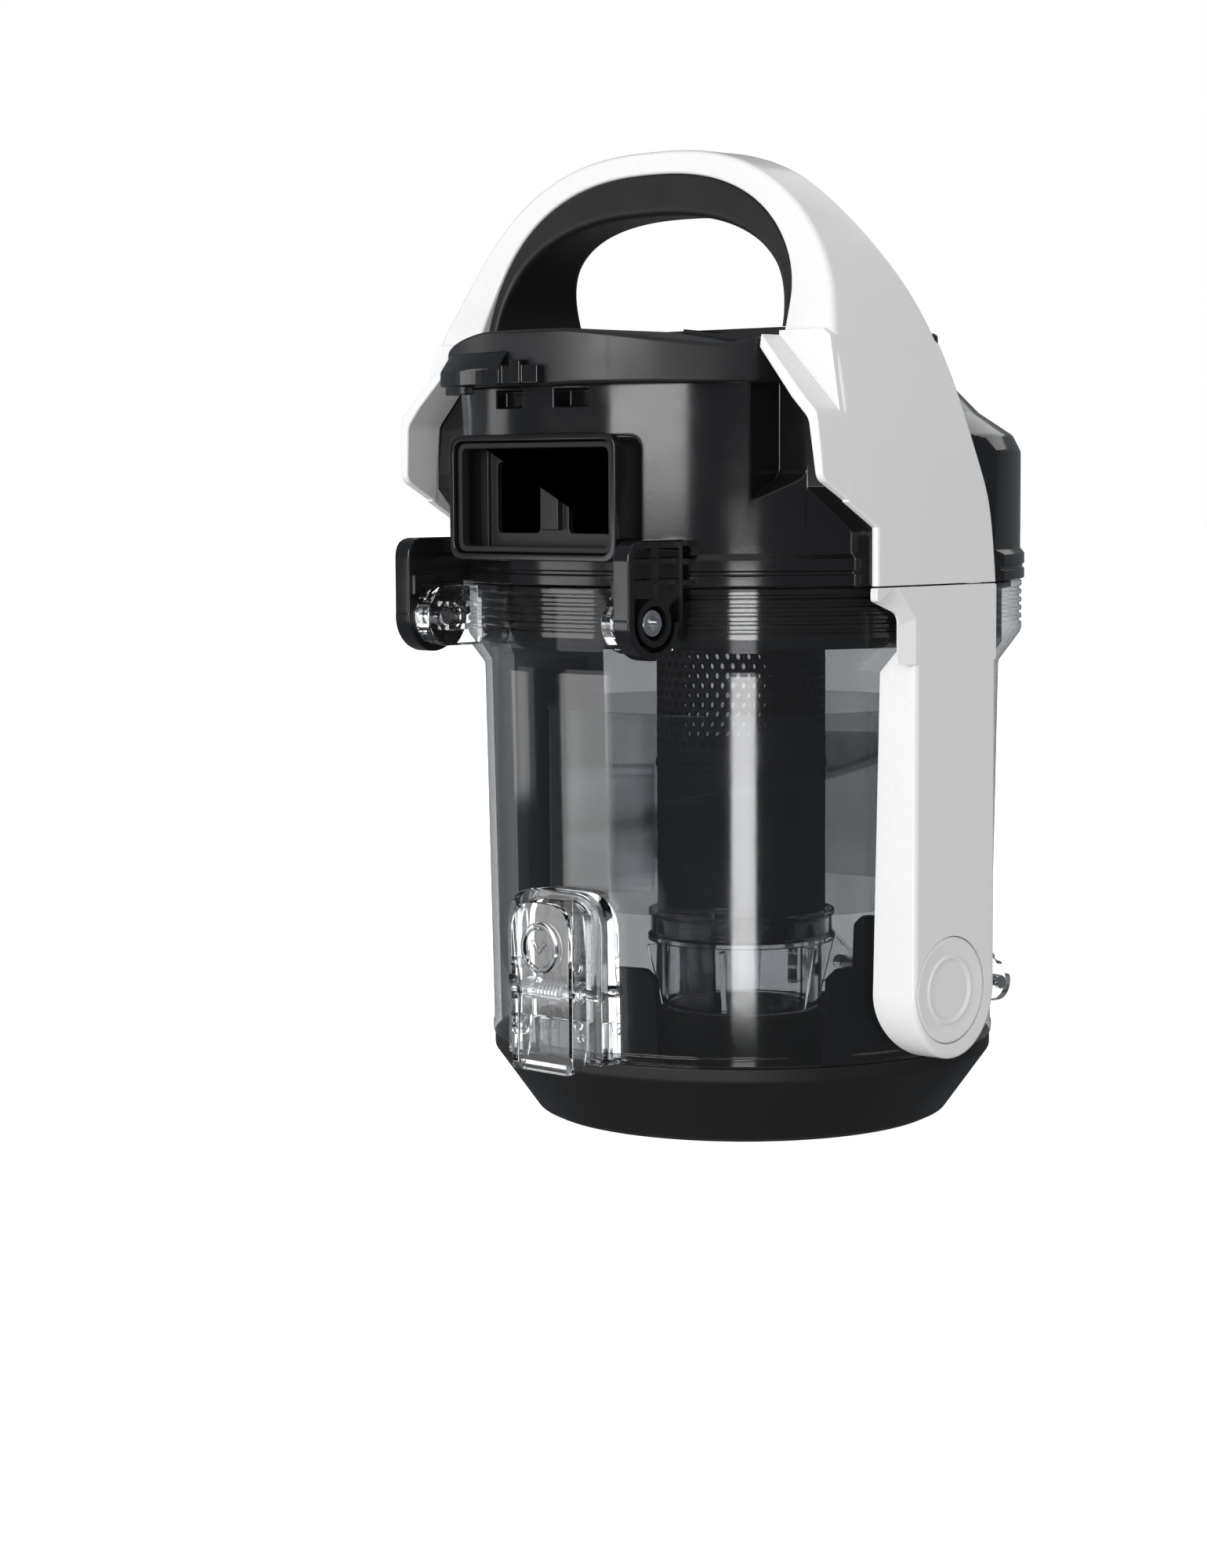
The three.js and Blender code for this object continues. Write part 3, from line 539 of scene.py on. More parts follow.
def inner_duct():
    """The clear box that leads the dirty air from the central tube into the cyclone, low at the left."""
    outside = rounded([(-57, -7), (-27.4, -7), (-27.4, 9), (-57, 9)], 1.2)
    walls = rounded([(-55.6, -5.6), (-20, -5.6), (-20, 7.6), (-55.6, 7.6)], 0.6)
    duct = cut(prism(outside, "Z", 69, 108), prism(walls, "Z", 60, 104.8))
    return spun(common(duct, turned([(27, 60), (58.4, 60), (58.4, 120), (27, 120)])), 44)


# ---------------------------------------------------------------- cyclone
def perforated_screen():
    """A round screen with staggered holes. Each hole sits in a six-sided cell that it shares edges with."""
    pitch = 2 * math.pi / HOLE_COLUMNS
    low = SCREEN_TOP - HOLE_ROW * HOLE_ROWS
    points, faces, index = [], [], {}

    def corner(u, z, r):
        key = (round(u / pitch * 12) % (12 * HOLE_COLUMNS), round(z * 50), r)
        if key not in index:
            index[key] = len(points)
            points.append((r * math.cos(u), r * math.sin(u), z))
        return index[key]

    def cell(u, z):
        half, tip, flank = pitch / 2, HOLE_ROW * 2 / 3, HOLE_ROW / 3
        corners = [(u, z - tip), (u + half, z - flank), (u + half, z + flank), (u, z + tip),
                   (u - half, z + flank), (u - half, z - flank)]
        line = []
        for (ua, za), (ub, zb) in zip(corners, corners[1:] + corners[:1]):
            line += [(ua, za), ((ua + ub) / 2, (za + zb) / 2)]
        return line

    def ring_of_hole(u, z, r):
        start = len(points)
        for i in range(12):
            a = -math.pi / 2 + math.pi * i / 6
            across_hole = u + HOLE_R / r * math.cos(a)
            points.append((r * math.cos(across_hole), r * math.sin(across_hole), z + HOLE_R * math.sin(a)))
        return [start + i for i in range(12)]

    for row in range(HOLE_ROWS):
        for column in range(HOLE_COLUMNS):
            u = (column + row % 2 / 2) * pitch
            z = low + HOLE_ROW * (row + 0.5)
            line = cell(u, z)
            holes = []
            for r in (SHROUD_R, SHROUD_R - SHROUD_WALL):
                edge = [corner(a, b, r) for a, b in line]
                hole = ring_of_hole(u, z, r)
                holes.append(hole)
                faces += [(edge[i], edge[(i + 1) % 12], hole[(i + 1) % 12], hole[i]) for i in range(12)]
            outer, inner = holes
            faces += [(outer[i], outer[(i + 1) % 12], inner[(i + 1) % 12], inner[i]) for i in range(12)]
    flank, tip = HOLE_ROW / 3, HOLE_ROW * 2 / 3
    for row, side, end in ((0, -1, low - 4), (HOLE_ROWS - 1, 1, 155)):
        z = low + HOLE_ROW * (row + 0.5)
        shift = row % 2 / 2
        ends = {}
        for r in (SHROUD_R, SHROUD_R - SHROUD_WALL):
            line = []
            for k in range(4 * HOLE_COLUMNS):
                u = (k / 4 + shift) * pitch
                rise = (tip, (tip + flank) / 2, flank, (tip + flank) / 2)[k % 4]
                line.append((corner(u, z + side * rise, r), corner(u, end, r)))
            ends[r] = [b for _, b in line]
            for (a0, b0), (a1, b1) in zip(line, line[1:] + line[:1]):
                faces.append((a0, a1, b1, b0))
        far, near = ends[SHROUD_R], ends[SHROUD_R - SHROUD_WALL]
        count = len(far)
        faces += [(far[i], far[(i + 1) % count], near[(i + 1) % count], near[i]) for i in range(count)]
    return solid(points, faces), low - 4


def shroud_body(top):
    r, inner = SHROUD_R, SHROUD_R - SHROUD_WALL
    tube = turned(rounded([
        (inner, SHROUD_LOW), (r, SHROUD_LOW), (r, top - 3, 0.1), (r + 0.5, top - 2.6, 0.2),
        (r + 0.5, top - 1, 0.3), (r, top - 0.05, 0.1), (0, top - 0.05, 0), (0, top - 2, 0), (inner, top - 2),
    ], 0.3, 3), 96)
    window = prism(box_outline(-14, 14, 76, 102, 3), "Y", 5, 32)
    return cut(tube, window)


def ring_profile(inner, outer, low, high, radius=0.4, bead=0.0):
    """A wall with rounded ends and, where bead is more than 0, a thicker rim at each end."""
    if not bead:
        return rounded([(inner, low), (outer, low), (outer, high), (inner, high)], radius, 4)
    return rounded([
        (inner, low), (outer + bead, low), (outer + bead, low + 1.4), (outer, low + 2), (outer, high - 2),
        (outer + bead, high - 1.4), (outer + bead, high), (inner, high),
    ], radius, 3)


def spiral_ramp():
    steps, turn, drop, top = 150, 230, 46, 118
    section = rounded([(26.9, 0), (59.1, 0), (59.1, 3.2), (57.9, 3.2), (57.9, 1.6), (26.9, 1.6)], 0.25, 2)
    sections = []
    for i in range(steps + 1):
        a = math.radians(25 - turn * i / steps)
        level = top - drop * i / steps
        sections.append([(r * math.cos(a), r * math.sin(a), level + z) for r, z in section])
    return loft(sections)


def foot_ring():
    ring = turned(rounded([
        (26.8, 53.4), (29.6, 53.4), (29.6, 55), (28.6, 55.8),
        (28.6, 61), (29.4, 61.6), (29.4, 63), (26.8, 63),
    ], 0.3, 3), 120)
    clip = prism(box_outline(-3.6, 3.6, 56.2, 66, 0.8), "Y", 26.8, 29.4)
    window = prism(box_outline(-2.2, 2.2, 57.4, 64.6, 0.5), "Y", 24, 32)
    frames = [spun(cut(clip, window), angle) for angle in (208, 28)]
    return join(ring, *frames)


def inlet_tube():
    tube = turned(ring_profile(23.4, 25.4, 32.2, 55.5, 0.5), 120)
    fin = prism(rounded([(24.8, 33), (26, 33), (31, 52.6), (24.8, 52.6)], 0.4), "Y", -0.8, 0.8)
    lying = [spun(fin, angle) for angle in (0, 60, 120, 180, 240, 300)]
    return join(tube, *lying)


# ---------------------------------------------------------------- lid
def base_lid():
    dish = turned(rounded([
        (20.7, 0, 1), (61, 0, 2), (64.4, 1.6, 3), (78.2, 20.8, 2.5), (78.2, LID_TOP, 0.5),
        (77.3, LID_TOP, 0.2), (77.3, 22.4, 0.1), (74.3, 22.4, 0.1), (74.3, LID_TOP, 0.2),
        (72.4, LID_TOP, 0.4), (72.4, 19, 3), (61.5, 3.2, 4), (25.4, 3.2, 1.5), (25.4, 31.5, 0.3),
        (24.4, 31.5, 0.1), (24.4, 29.5, 0.1), (22, 29.5, 0.1), (22, 31.5, 0.1), (20.7, 31.5, 0.3),
    ], 0.3, 4), 160)
    tab = softened(prism(rounded([
        (-76.6, 20.5), (-80, 20.5), (-82, 25.2), (-85.5, 25.2),
        (-85.5, 29), (-79, 29), (-79, LID_TOP), (-76.6, LID_TOP),
    ], 0.3, 2), "X", -9.5, 9.5), 0.3, 2)
    teeth = [block(x - 0.7, x + 0.7, -86, -83, 24.8, 29.3) for x in (-6, -3, 0, 3, 6)]
    y, z = LID_HINGE
    foot = rounded([(68, 12), (74, 12), (y + 5.4, z - 2, 1), (y - 6, z, 0), (80, 24.8, 0), (68, 24.8)], 0.3)
    arm = join(prism(foot, "X", 21.2, 30.2), rod("X", 6, 21.2, 30.2, y, z))
    hollow = turned([(0, 3.2), (61.5, 3.2), (72.4, 19), (72.4, 22.4), (77.3, 22.4), (77.3, 50), (0, 50)], 96)
    arm = cut(softened(arm, 0.5, 2), hollow, rod("X", HINGE_HOLE, 15, 40, y, z))
    top = [(-10.5, 4, 0), (10.5, 4, 0), (8.8, 50, 3), (5.2, 53, 3), (-5.2, 53, 3), (-8.8, 50, 3)]
    hump = softened(prism(rounded(top, 0), "Y", -72.3, -68.5), 0.8, 3)
    hump = common(hump, turned([(0, 2), (63, 2), (72.3, 19), (72.3, 60), (0, 60)], 96))
    humps = [spun(hump, 14 + 56 * i) for i in range(6)]
    ribs = [spun(block(29, 60, -0.8, 0.8, 3, 7), 30 + 60 * i) for i in range(6)]
    return join(dish, cut(tab, *teeth), *both(arm), *humps, *ribs)


# ---------------------------------------------------------------- front latch
def latch_lever():
    y, z = LATCH
    face = [(-12.2, 22.2, 1.2), (12.2, 22.2, 1.2), (12.2, 73, 9.5), (-12.2, 73, 9.5)]
    plate = prism(rounded(face, 1, 10), "Y", -90, -87.7)
    cheek = rounded([
        (-88, 24), (-83.2, 24, 2), (-82, 30, 2), (-80.6, 38, 2),
        (-80.4, 48, 2), (-82.4, 62, 4), (-83.2, 70.4), (-88, 71),
    ], 0.8)
    cheeks = both(prism(cheek, "X", 10.7, 12.2))
    hook = [(-88.4, 22.2), (-85.8, 22.2), (-85.8, 23.6), (-86.4, 24.8), (-88.4, 24.8)]
    nose = prism(rounded(hook, 0.2, 2), "X", -9.5, 9.5)
    rib = block(-11, 11, -88, -86.4, z - 0.8, z + 0.8)
    bosses = both(rod("X", 3.4, 7.6, 12.7, y, z))
    slots = []
    for u, v, r in ((-85.6, 37, 1.5), (-84.4, 33.2, 1.3), (-85.8, 54, 1.6)):
        slots.append(rod("X", r, -30, 30, u, v, 24))
    body = cut(join(plate, *cheeks), *slots)
    body = softened(join(body, nose, rib, *bosses), 0.35, 2)
    button = [(0, 0), (5.6, 0), (6.3, 0.7), (7.3, 0.7), (7.9, -0.3), (7.9, -3), (0, -3)]
    dial = turned(rounded(button, 0.2, 2), 72)
    dial.transform(Matrix.Translation((0, -90.1, 59.5)) @ Matrix.Rotation(math.radians(90), 4, "X"))
    chevron = [(-2.6, 1.4), (0, -1.6), (2.6, 1.4), (2.6, 2.9), (0, -0.1), (-2.6, 2.9)]
    mark = prism(rounded([(u, v + 59.2) for u, v in chevron], 0.2, 2), "Y", -90.7, -89)
    return welded(cut(join(body, dial, mark), rod("X", PIN_HOLE, -30, 30, y, z)))


def coil(half, radius, wire, y, z, turns=6.5):
    """A wound spring round an axis along X."""
    steps, sides = 150, 10
    path = []
    for i in range(steps + 1):
        a = 2 * math.pi * turns * i / steps
        x = -half + 2 * half * i / steps
        path.append(Vector((x, y + radius * math.cos(a), z + radius * math.sin(a))))
    return swept(path, wire, sides)


def swept(path, radius, sides=12):
    """A round wire along a path of points."""
    sections = []
    for i, centre in enumerate(path):
        along = (path[min(i + 1, len(path) - 1)] - path[max(i - 1, 0)]).normalized()
        side = along.cross(Vector((0.31, 0.17, 0.93))).normalized()
        other = along.cross(side)
        section = []
        for k in range(sides):
            a = 2 * math.pi * k / sides
            section.append(tuple(centre + side * radius * math.cos(a) + other * radius * math.sin(a)))
        sections.append(section)
    return loft(sections)


def pin(radius, half, y, z):
    return softened(rod("X", radius, -half, half, y, z, 32), 0.25, 2)


# ---------------------------------------------------------------- white side panels
def panel_section(x, inset):
    """The stadium outline of a side panel at one depth. Its front and back faces lean in."""
    share = (x - 68) / (PANEL_X - 68)
    front = -27 + 5.2 * share + inset
    back = 21 - 4.6 * share - inset
    middle, half, drop = (front + back) / 2, (back - front) / 2, DISC[1] - BIN_BOTTOM - inset
    foot = [(middle + half * math.cos(a), DISC[1] + drop * math.sin(a)) for a in angles(180, 360, 48)]
    return [(x, y, z) for y, z in [*foot, (back, 147.5), (front, 147.5)]]


def panel_facet():
    """The cutter that takes the leaning front face up over the collar and out to the spur."""
    crease = [(-21.6, 140), (-21.6, 157.5), (-30.5, 167.5)]
    low = [(-27.4, 140), (-27.4, 155.3), (-34.8, 163.6)]
    far = [(-60, 130), (-60, 140), (-60, 150)]
    outer, inner = PANEL_X + 0.1, FLAT_X + 0.7
    return loft([[(outer, *c), (inner, *d), (inner, *f), (outer, *f)] for c, d, f in zip(crease, low, far)])


def lower_panel():
    lower = [panel_section(60, 0)]
    for a in angles(0, 90, 7):
        x = PANEL_X - WHITE_EDGE * (1 - math.sin(a))
        lower.append(panel_section(x, WHITE_EDGE * (1 - math.cos(a))))
    collar = rounded([
        (-39.4, 166.7, 1), (-39.4, 162.9, 1.2), (-27.5, 158.7, 4),
        (-27.5, 144, 0), (16.2, 144, 0), (16.2, 166.7, 1),
    ], 1)
    upper = cut(prism(collar, "X", FLAT_X + FIT, PANEL_X - 0.01), panel_facet())
    upper = softened(upper, 0.5, 3, 12, True)
    seat = rod("X", 16.2, PANEL_X - 1.4, PANEL_X + 1, *DISC, 96)
    hollow = prism(box_outline(-18.3, 12.3, 33.7, 139.3, 2), "X", 55, 84.7)
    return cut(join(loft(lower), upper), bin_outside(FIT), hollow, seat)


def trim_disc():
    profile = rounded([
        (0, 0), (15.9, 0), (15.9, 1, 0.5), (15.0, 1.2, 0.5), (10.6, 0.75, 0.5), (10.1, 1.2, 0.3),
        (9.5, 1.2, 0.3), (8.7, 0.5, 0.6), (0, 0.75, 0),
    ], 0.2, 4)
    disc = turned(profile, 128)
    place = Matrix.Translation((PANEL_X - 1.25, *DISC))
    disc.transform(place @ Matrix.Rotation(math.radians(90), 4, "Y"))
    return disc


# ---------------------------------------------------------------- head
def under_arch(inset):
    half = ARCH[0] - inset
    return prism([(half, 160), *arch(ARCH, inset), (-half, 160)], "Y", -110, 110)


def head_barrel():
    barrel = turned(rounded([
        (0, HEAD_BOTTOM, 0), (88.3, HEAD_BOTTOM, 0.4), (88.3, 170.2, 0.3), (87.7, 170.6, 0.2),
        (87.7, 171.4, 0.2), (88.3, 171.8, 0.3), (88.3, 174.9, 0.5), (HEAD_R, 176.5, 0.6), (HEAD_R, 206, 3),
        (84.5, 211, 3), (74, 218, 3), (66, 226.2, 1.5), (0, 226.2, 0),
    ], 0.3, 4), 160)
    cheek = [
        (-39, 183), (CHEEK_FRONT, 195.5), (CHEEK_FRONT, CHEEK_TOP), (-12, CHEEK_TOP),
        (3, 210), (11, 188), (13, 176), (13, HEAD_BOTTOM), (-39, HEAD_BOTTOM),
    ]
    recess = [(CHEEK_FRONT, 245, 0), (CHEEK_FRONT, 199, 5), (-66, 190, 4), (-100, 183.5, 0), (-100, 245, 0)]
    column = turned([(0, 180), (HEAD_R, 180), (HEAD_R, 226.2), (0, 226.2)], 160)
    column = common(column, block(-60, 60, -100, -40, 180, 230))
    deck = block(-63.1, 63.1, -60, 60, 226.3, 250)
    sides = both(prism(rounded(recess, 0), "X", 60, 100))
    body = cut(join(barrel, *both(prism(cheek, "X", 60, 90))), *sides, deck)
    niches = [block(x0, x1, -92, -80, 219.6, 224.6) for x0, x1 in ((-22.5, -9), (4.5, 17))]
    body = cut(common(join(body, column), under_arch(SHELL + FIT)), *niches)
    return softened(body, 0.5, 3, 34)


def head_hollow():
    hollow = turned([(0, 160), (82.2, 160), (82.2, 204), (70, 214.5), (62, 220.4), (0, 220.4)], 96)
    return cut(hollow, *both(block(57, 100, -100, -49, 178, 240)))


def port_outline(inset):
    r = 5 - inset * 0.7
    return box_outline(-PORT_HALF + inset, PORT_HALF - inset, PORT_LOW + inset, PORT_HIGH - inset, max(r, 1))


def outlet_port():
    """The rectangular port: a duct with a raised, rounded rim."""
    duct = prism(port_outline(0.9), "Y", PORT_FACE + 2.6, -70)
    rim = prism(port_outline(0), "Y", PORT_FACE, PORT_FACE + 3)
    barrel = turned([(0, 170), (86.9, 170), (86.9, 220), (0, 220)], 128)
    seat = prism(port_outline(2), "Y", PORT_FACE - 2, PORT_FACE + 4.6)
    return softened(cut(join(duct, rim), barrel, port_passage(), seat), 0.45, 3, 34)


def port_passage():
    return prism(port_outline(3.4), "Y", -100, -60)


def port_baffle():
    plate = prism(port_outline(2.4), "Y", PORT_FACE + 10, PORT_FACE + 12)
    openings = [box_outline(x - 9, x + 9, PORT_LOW + 8, PORT_HIGH - 8, 2) for x in (-15, 15)]
    windows = [prism(opening, "Y", -84, -78) for opening in openings]
    tongue = block(-3.6, 3.6, -84.6, -82, PORT_LOW + 9, PORT_HIGH - 3)
    ribs = [block(x - 0.5, x + 0.5, -84, -82, PORT_LOW + 3, PORT_HIGH - 3) for x in (-27, 27)]
    return softened(join(cut(plate, *windows), tongue, *ribs), 0.3, 2)


def port_seal():
    outer = prism(port_outline(2.35), "Y", -91.2, -88.1)
    return softened(cut(outer, prism(port_outline(4.1), "Y", -95, -85)), 0.5, 3)


def hinge_bracket():
    y, z = HEAD_HINGE
    side = rounded([(-102, z, 0), (-102, 181, 6), (-79, 181, 0), (-79, z, 0)], 0, 8)
    arm = join(rod("X", 10.8, BRACKET_IN, BRACKET_OUT, y, z, 72), prism(side, "X", BRACKET_IN, BRACKET_OUT))
    arm = softened(arm, 0.7, 3)
    inset = 2.3
    front, top = -102 + inset, 181 - inset
    room = rounded([(front, z, 0), (front, top, 4), (-81, top, 1), (-81, z, 0)], 0, 6)
    pocket = join(prism(room, "X", BRACKET_IN + 2.4, 60), rod("X", 8.5, BRACKET_IN + 2.4, 60, y, z, 64))
    keep = [
        rod("X", 6.9, 40, 60, y, z, 56), block(40, BRACKET_OUT - 1, y - 0.7, y + 0.7, z + 5, 182),
        *[block(40, BRACKET_OUT - 0.8, -103, -78, h - 0.7, h + 0.7) for h in (169, 175)],
    ]
    pocket = cut(pocket, *keep)
    heights = (168.6, 174.6, 180)
    ribs = [block(BRACKET_IN + 0.5, BRACKET_OUT - 0.6, -82, -68, h - 0.8, h + 0.8) for h in heights]
    web = block(BRACKET_IN, BRACKET_IN + 2, -82, -68, 168, 181)
    step = block(BRACKET_IN - 1.6, BRACKET_IN + 0.4, -101, -92, 164, 170)
    body = join(cut(arm, pocket), web, *ribs, softened(step, 0.3, 2))
    body = cut(body, rod("X", 5, BRACKET_OUT - 4, 60, y, z, 48), rod("X", SCREW_HOLE, 30, 60, y, z))
    low, high = HEAD_BOTTOM - 0.3, HEAD_BOTTOM - 0.2
    barrel = turned([(0, 150), (81, 150), (81, low), (86.6, HEAD_BOTTOM), (86.6, 190), (0, 190)], 96)
    return cut(body, barrel, turned([(0, 140), (88.2, 140), (88.2, high), (0, high)], 96))


def hinge_screw():
    y, z = HEAD_HINGE
    head = softened(rod("X", 4.1, BRACKET_OUT - 3.7, BRACKET_OUT - 0.7, y, z, 48), 0.7, 4)
    shank = rod("X", SCREW, 37.2, BRACKET_OUT - 3.2, y, z, 32)
    star = []
    for i in range(24):
        r = 2.35 if (i // 2) % 2 else 1.75
        star.append((y + r * math.cos(math.pi * i / 12), z + r * math.sin(math.pi * i / 12)))
    return cut(join(head, shank), prism(rounded(star, 0.3, 2), "X", BRACKET_OUT - 2.6, BRACKET_OUT + 2))


def deck_sector(r0, r1, start, end):
    return [*arc(0, DECK_Y, r1, start, end, 36), *arc(0, DECK_Y, r0, end, start, 36)]


def deck_shape(scale=1.0):
    edge = math.degrees(math.acos(DECK_HALF / DECK_R))
    front = arc(0, DECK_Y, DECK_R, 180 + edge, 360 - edge, 72)
    rear = arc(0, DECK_Y, DECK_R, edge, 180 - edge, 72)
    return [(u * scale, (v - DECK_Y) * scale + DECK_Y) for u, v in [*front, *rear]]


def top_cover():
    """The visor: a thick, rounded deck that overhangs the column and dips at its front corners."""
    whole = prism(deck_shape(), "Z", 225.6, 241.7)
    dip = [(14, 242), (24, 241), (35, 239.6), (46, 238), (55, 236.9), (58, 237.2), (64, 239.4)]
    dips = both(prism([*smooth_line(dip, 4), (70, 239.4), (70, 250), (14, 250)], "Y", -110, -52))
    body = softened(cut(whole, *dips), 1.3, 4, 30)
    groove = cut(prism(deck_shape(0.9), "Z", 240.9, 245), prism(deck_shape(0.87), "Z", 239, 246))
    rear = block(-80, 80, -45, 80, 200, 250)
    return cut(body, prism(deck_shape(0.955), "Z", 215, 234), common(groove, rear))


def docking_catch():
    slope = turned([(60, 220), (79, 220), (79, 230.5), (75.8, 235.6), (60, 235.6)], 160)
    slope.transform(Matrix.Translation((0, DECK_Y, 0)))
    main = common(prism(deck_sector(75.2, 79, 238, 267), "Z", 226, 235.6), slope)
    notch = prism(deck_sector(75.2, 78, 266, 277.6), "Z", 226, 231.4)
    tooth = prism(deck_sector(75.2, 78.6, 270, 273), "Z", 226, 233)
    stub = prism(deck_sector(75.2, 78.4, 241, 253), "Z", 223.4, 227)
    return softened(join(main, notch, tooth, stub), 0.45, 3, 30)


# ---------------------------------------------------------------- handle
def arch_point(shape, degrees):
    half, base, height, power = shape
    a = math.radians(degrees)
    return half * max(0.0, math.cos(a)) ** (2 / power), base + height * math.sin(a) ** (2 / power)


def handle_band():
    """The white arch: a thick bow at the top that thins to a wall at each leg."""
    foot = CHEEK_TOP + 0.6
    pairs = []
    bend = (182.5, 184, 185.5, 187, 188.5, 190, 191.5)
    for z in (HEAD_BOTTOM, 172, 178, *bend, 193, *range(197, 237, 5), foot):
        wide = ARCH[0] if z < ARCH[1] else arch_width(ARCH, 0, z)
        thin = ARCH[0] - SHELL if z < ARCH[1] else arch_width(ARCH, SHELL, z)
        pairs.append(((wide, z), (thin, z)))
    pairs.append(((arch_width(ARCH, 0, foot + 0.3), foot + 0.3), pairs[-1][1]))
    pairs.append(((arch_width(ARCH, 0, foot + 1.7), foot + 1.7), (ARCH_INNER[0], ARCH_INNER[1])))
    start = math.degrees(math.asin(((foot + 1.7 - ARCH[1]) / ARCH[2]) ** (ARCH[3] / 2)))
    steps = 56
    for i in range(1, steps + 1):
        share = i / steps
        pairs.append((arch_point(ARCH, start + (90 - start) * share), arch_point(ARCH_INNER, 90 * share)))
    top = smooth_line([(-52.4, 240), (-50.4, 246), (-47.4, 254), (-45, 264), (-42.5, 281), (-41, 299)])
    front = [(-39.4, 160), (-39.4, 184), (-52.6, 191.5), (-52.6, 238.5), *top]
    back = smooth_line([
        (16.4, 160), (16.2, 170), (13, 191), (5.5, 210), (-8.4, 247), (-19.4, 270), (-22.7, 282), (-22, 299),
    ])
    return loft([band_section(a, b, front, back, (2.6, 3.2, 1.2, 1.2)) for a, b in across(pairs)])


def handle_wing():
    """The rim that runs forward from a leg of the arch and slopes in to the visor."""
    edge = [(arch_width(ARCH, 0.06, z), z, 0) for z in (188, 194, 200, 206, 212)]
    rim = [(PANEL_X - 0.06, 184, 0), *edge, (arch_width(ARCH, 0.06, 217), 217, 4), (63.2, 239.6, 0)]
    inside = [(63.2, 235.6, 0), (83.2, 215, 5), (84.8, 200, 5), (85.2, 184, 0)]
    side = [(-30, 186, 0), (-51.5, 191.5, 4), (-63.5, 198, 4), (-65, 221, 5), (-62, 240, 0), (-30, 240, 0)]
    shape = common(prism(rounded(rim + inside, 0), "Y", -70, -20), prism(rounded(side, 0), "X", 60, 100))
    return cut(softened(shape, 0.9, 3, 34, True), block(50, 100, WING_ROOT, 0, 170, 250))


def handle_shoulder():
    """The flat triangle between the wing's slope and the foot of the arch."""
    shape = [(63.3, 238), (85.9, 216), (86.2, 217), (82.6, 238.6), (80, 240.6), (63.3, 240.6)]
    return softened(prism(rounded(shape, 0.3, 2), "Y", -54.2, -51.25), 0.4, 2, 38, True)


def handle_shell():
    return welded(join(handle_band(), *both(handle_wing()), *both(handle_shoulder())))


def handle_grip():
    half, base, height, power = ARCH_INNER
    lining = (half - 0.3, base, height - 0.3, power)
    foot = 242.0
    pairs = [((arch_width(lining, 0, foot), foot), (arch_width(FINGER_GAP, 0, foot), foot))]
    pairs += [(arch_point(lining, a), arch_point(FINGER_GAP, a)) for a in (3, 4.5, 6, *range(8, 91, 2))]
    front = smooth_line([(-49.2, foot - 1), (-44.8, 262), (-42.2, 282), (-40.8, 291)])
    back = smooth_line([(-8, foot - 1), (-10, 247), (-21, 270), (-24, 281), (-23.5, 291)])
    return loft([band_section(a, b, front, back, (0.8, 0.8, 2.6, 2.6)) for a, b in across(pairs)])


# ---------------------------------------------------------------- rear latch
def rear_ears():
    y, z = REAR_LATCH
    ear = join(block(12.3, 15.3, 82, y, z - 4, z + 4), rod("X", 3.2, 12.3, 15.3, y, z))
    head = turned([(0, 160), (86.9, 160), (86.9, 190), (0, 190)], 96)
    return cut(softened(ear, 0.4, 2), rod("X", PIN_HOLE, 0, 30, y, z), head)


def rear_latch():
    y, z = REAR_LATCH
    plate = softened(prism(box_outline(-12, 12, 151, 188, 4), "Y", 92, 94.8), 0.7, 3)
    ridges = [softened(block(-8, 8, 94.2, 94.9, 180 + 2 * i, 181 + 2 * i), 0.2, 2) for i in range(3)]
    nose = prism(rounded([(90.5, 151.2), (93, 151.2), (93, 155.5), (91.6, 155.5)], 0.3, 2), "X", -9.5, 9.5)
    boss = rod("X", 3.2, -12, 12, y, z)
    room = [block(-5.3, 5.3, 80, 92.4, z - 5, z + 5), block(-5.3, 5.3, 80, 99, z - 3.5, z + 3.5)]
    return cut(join(plate, nose, boss, *ridges), *room, rod("X", PIN_HOLE, -30, 30, y, z))


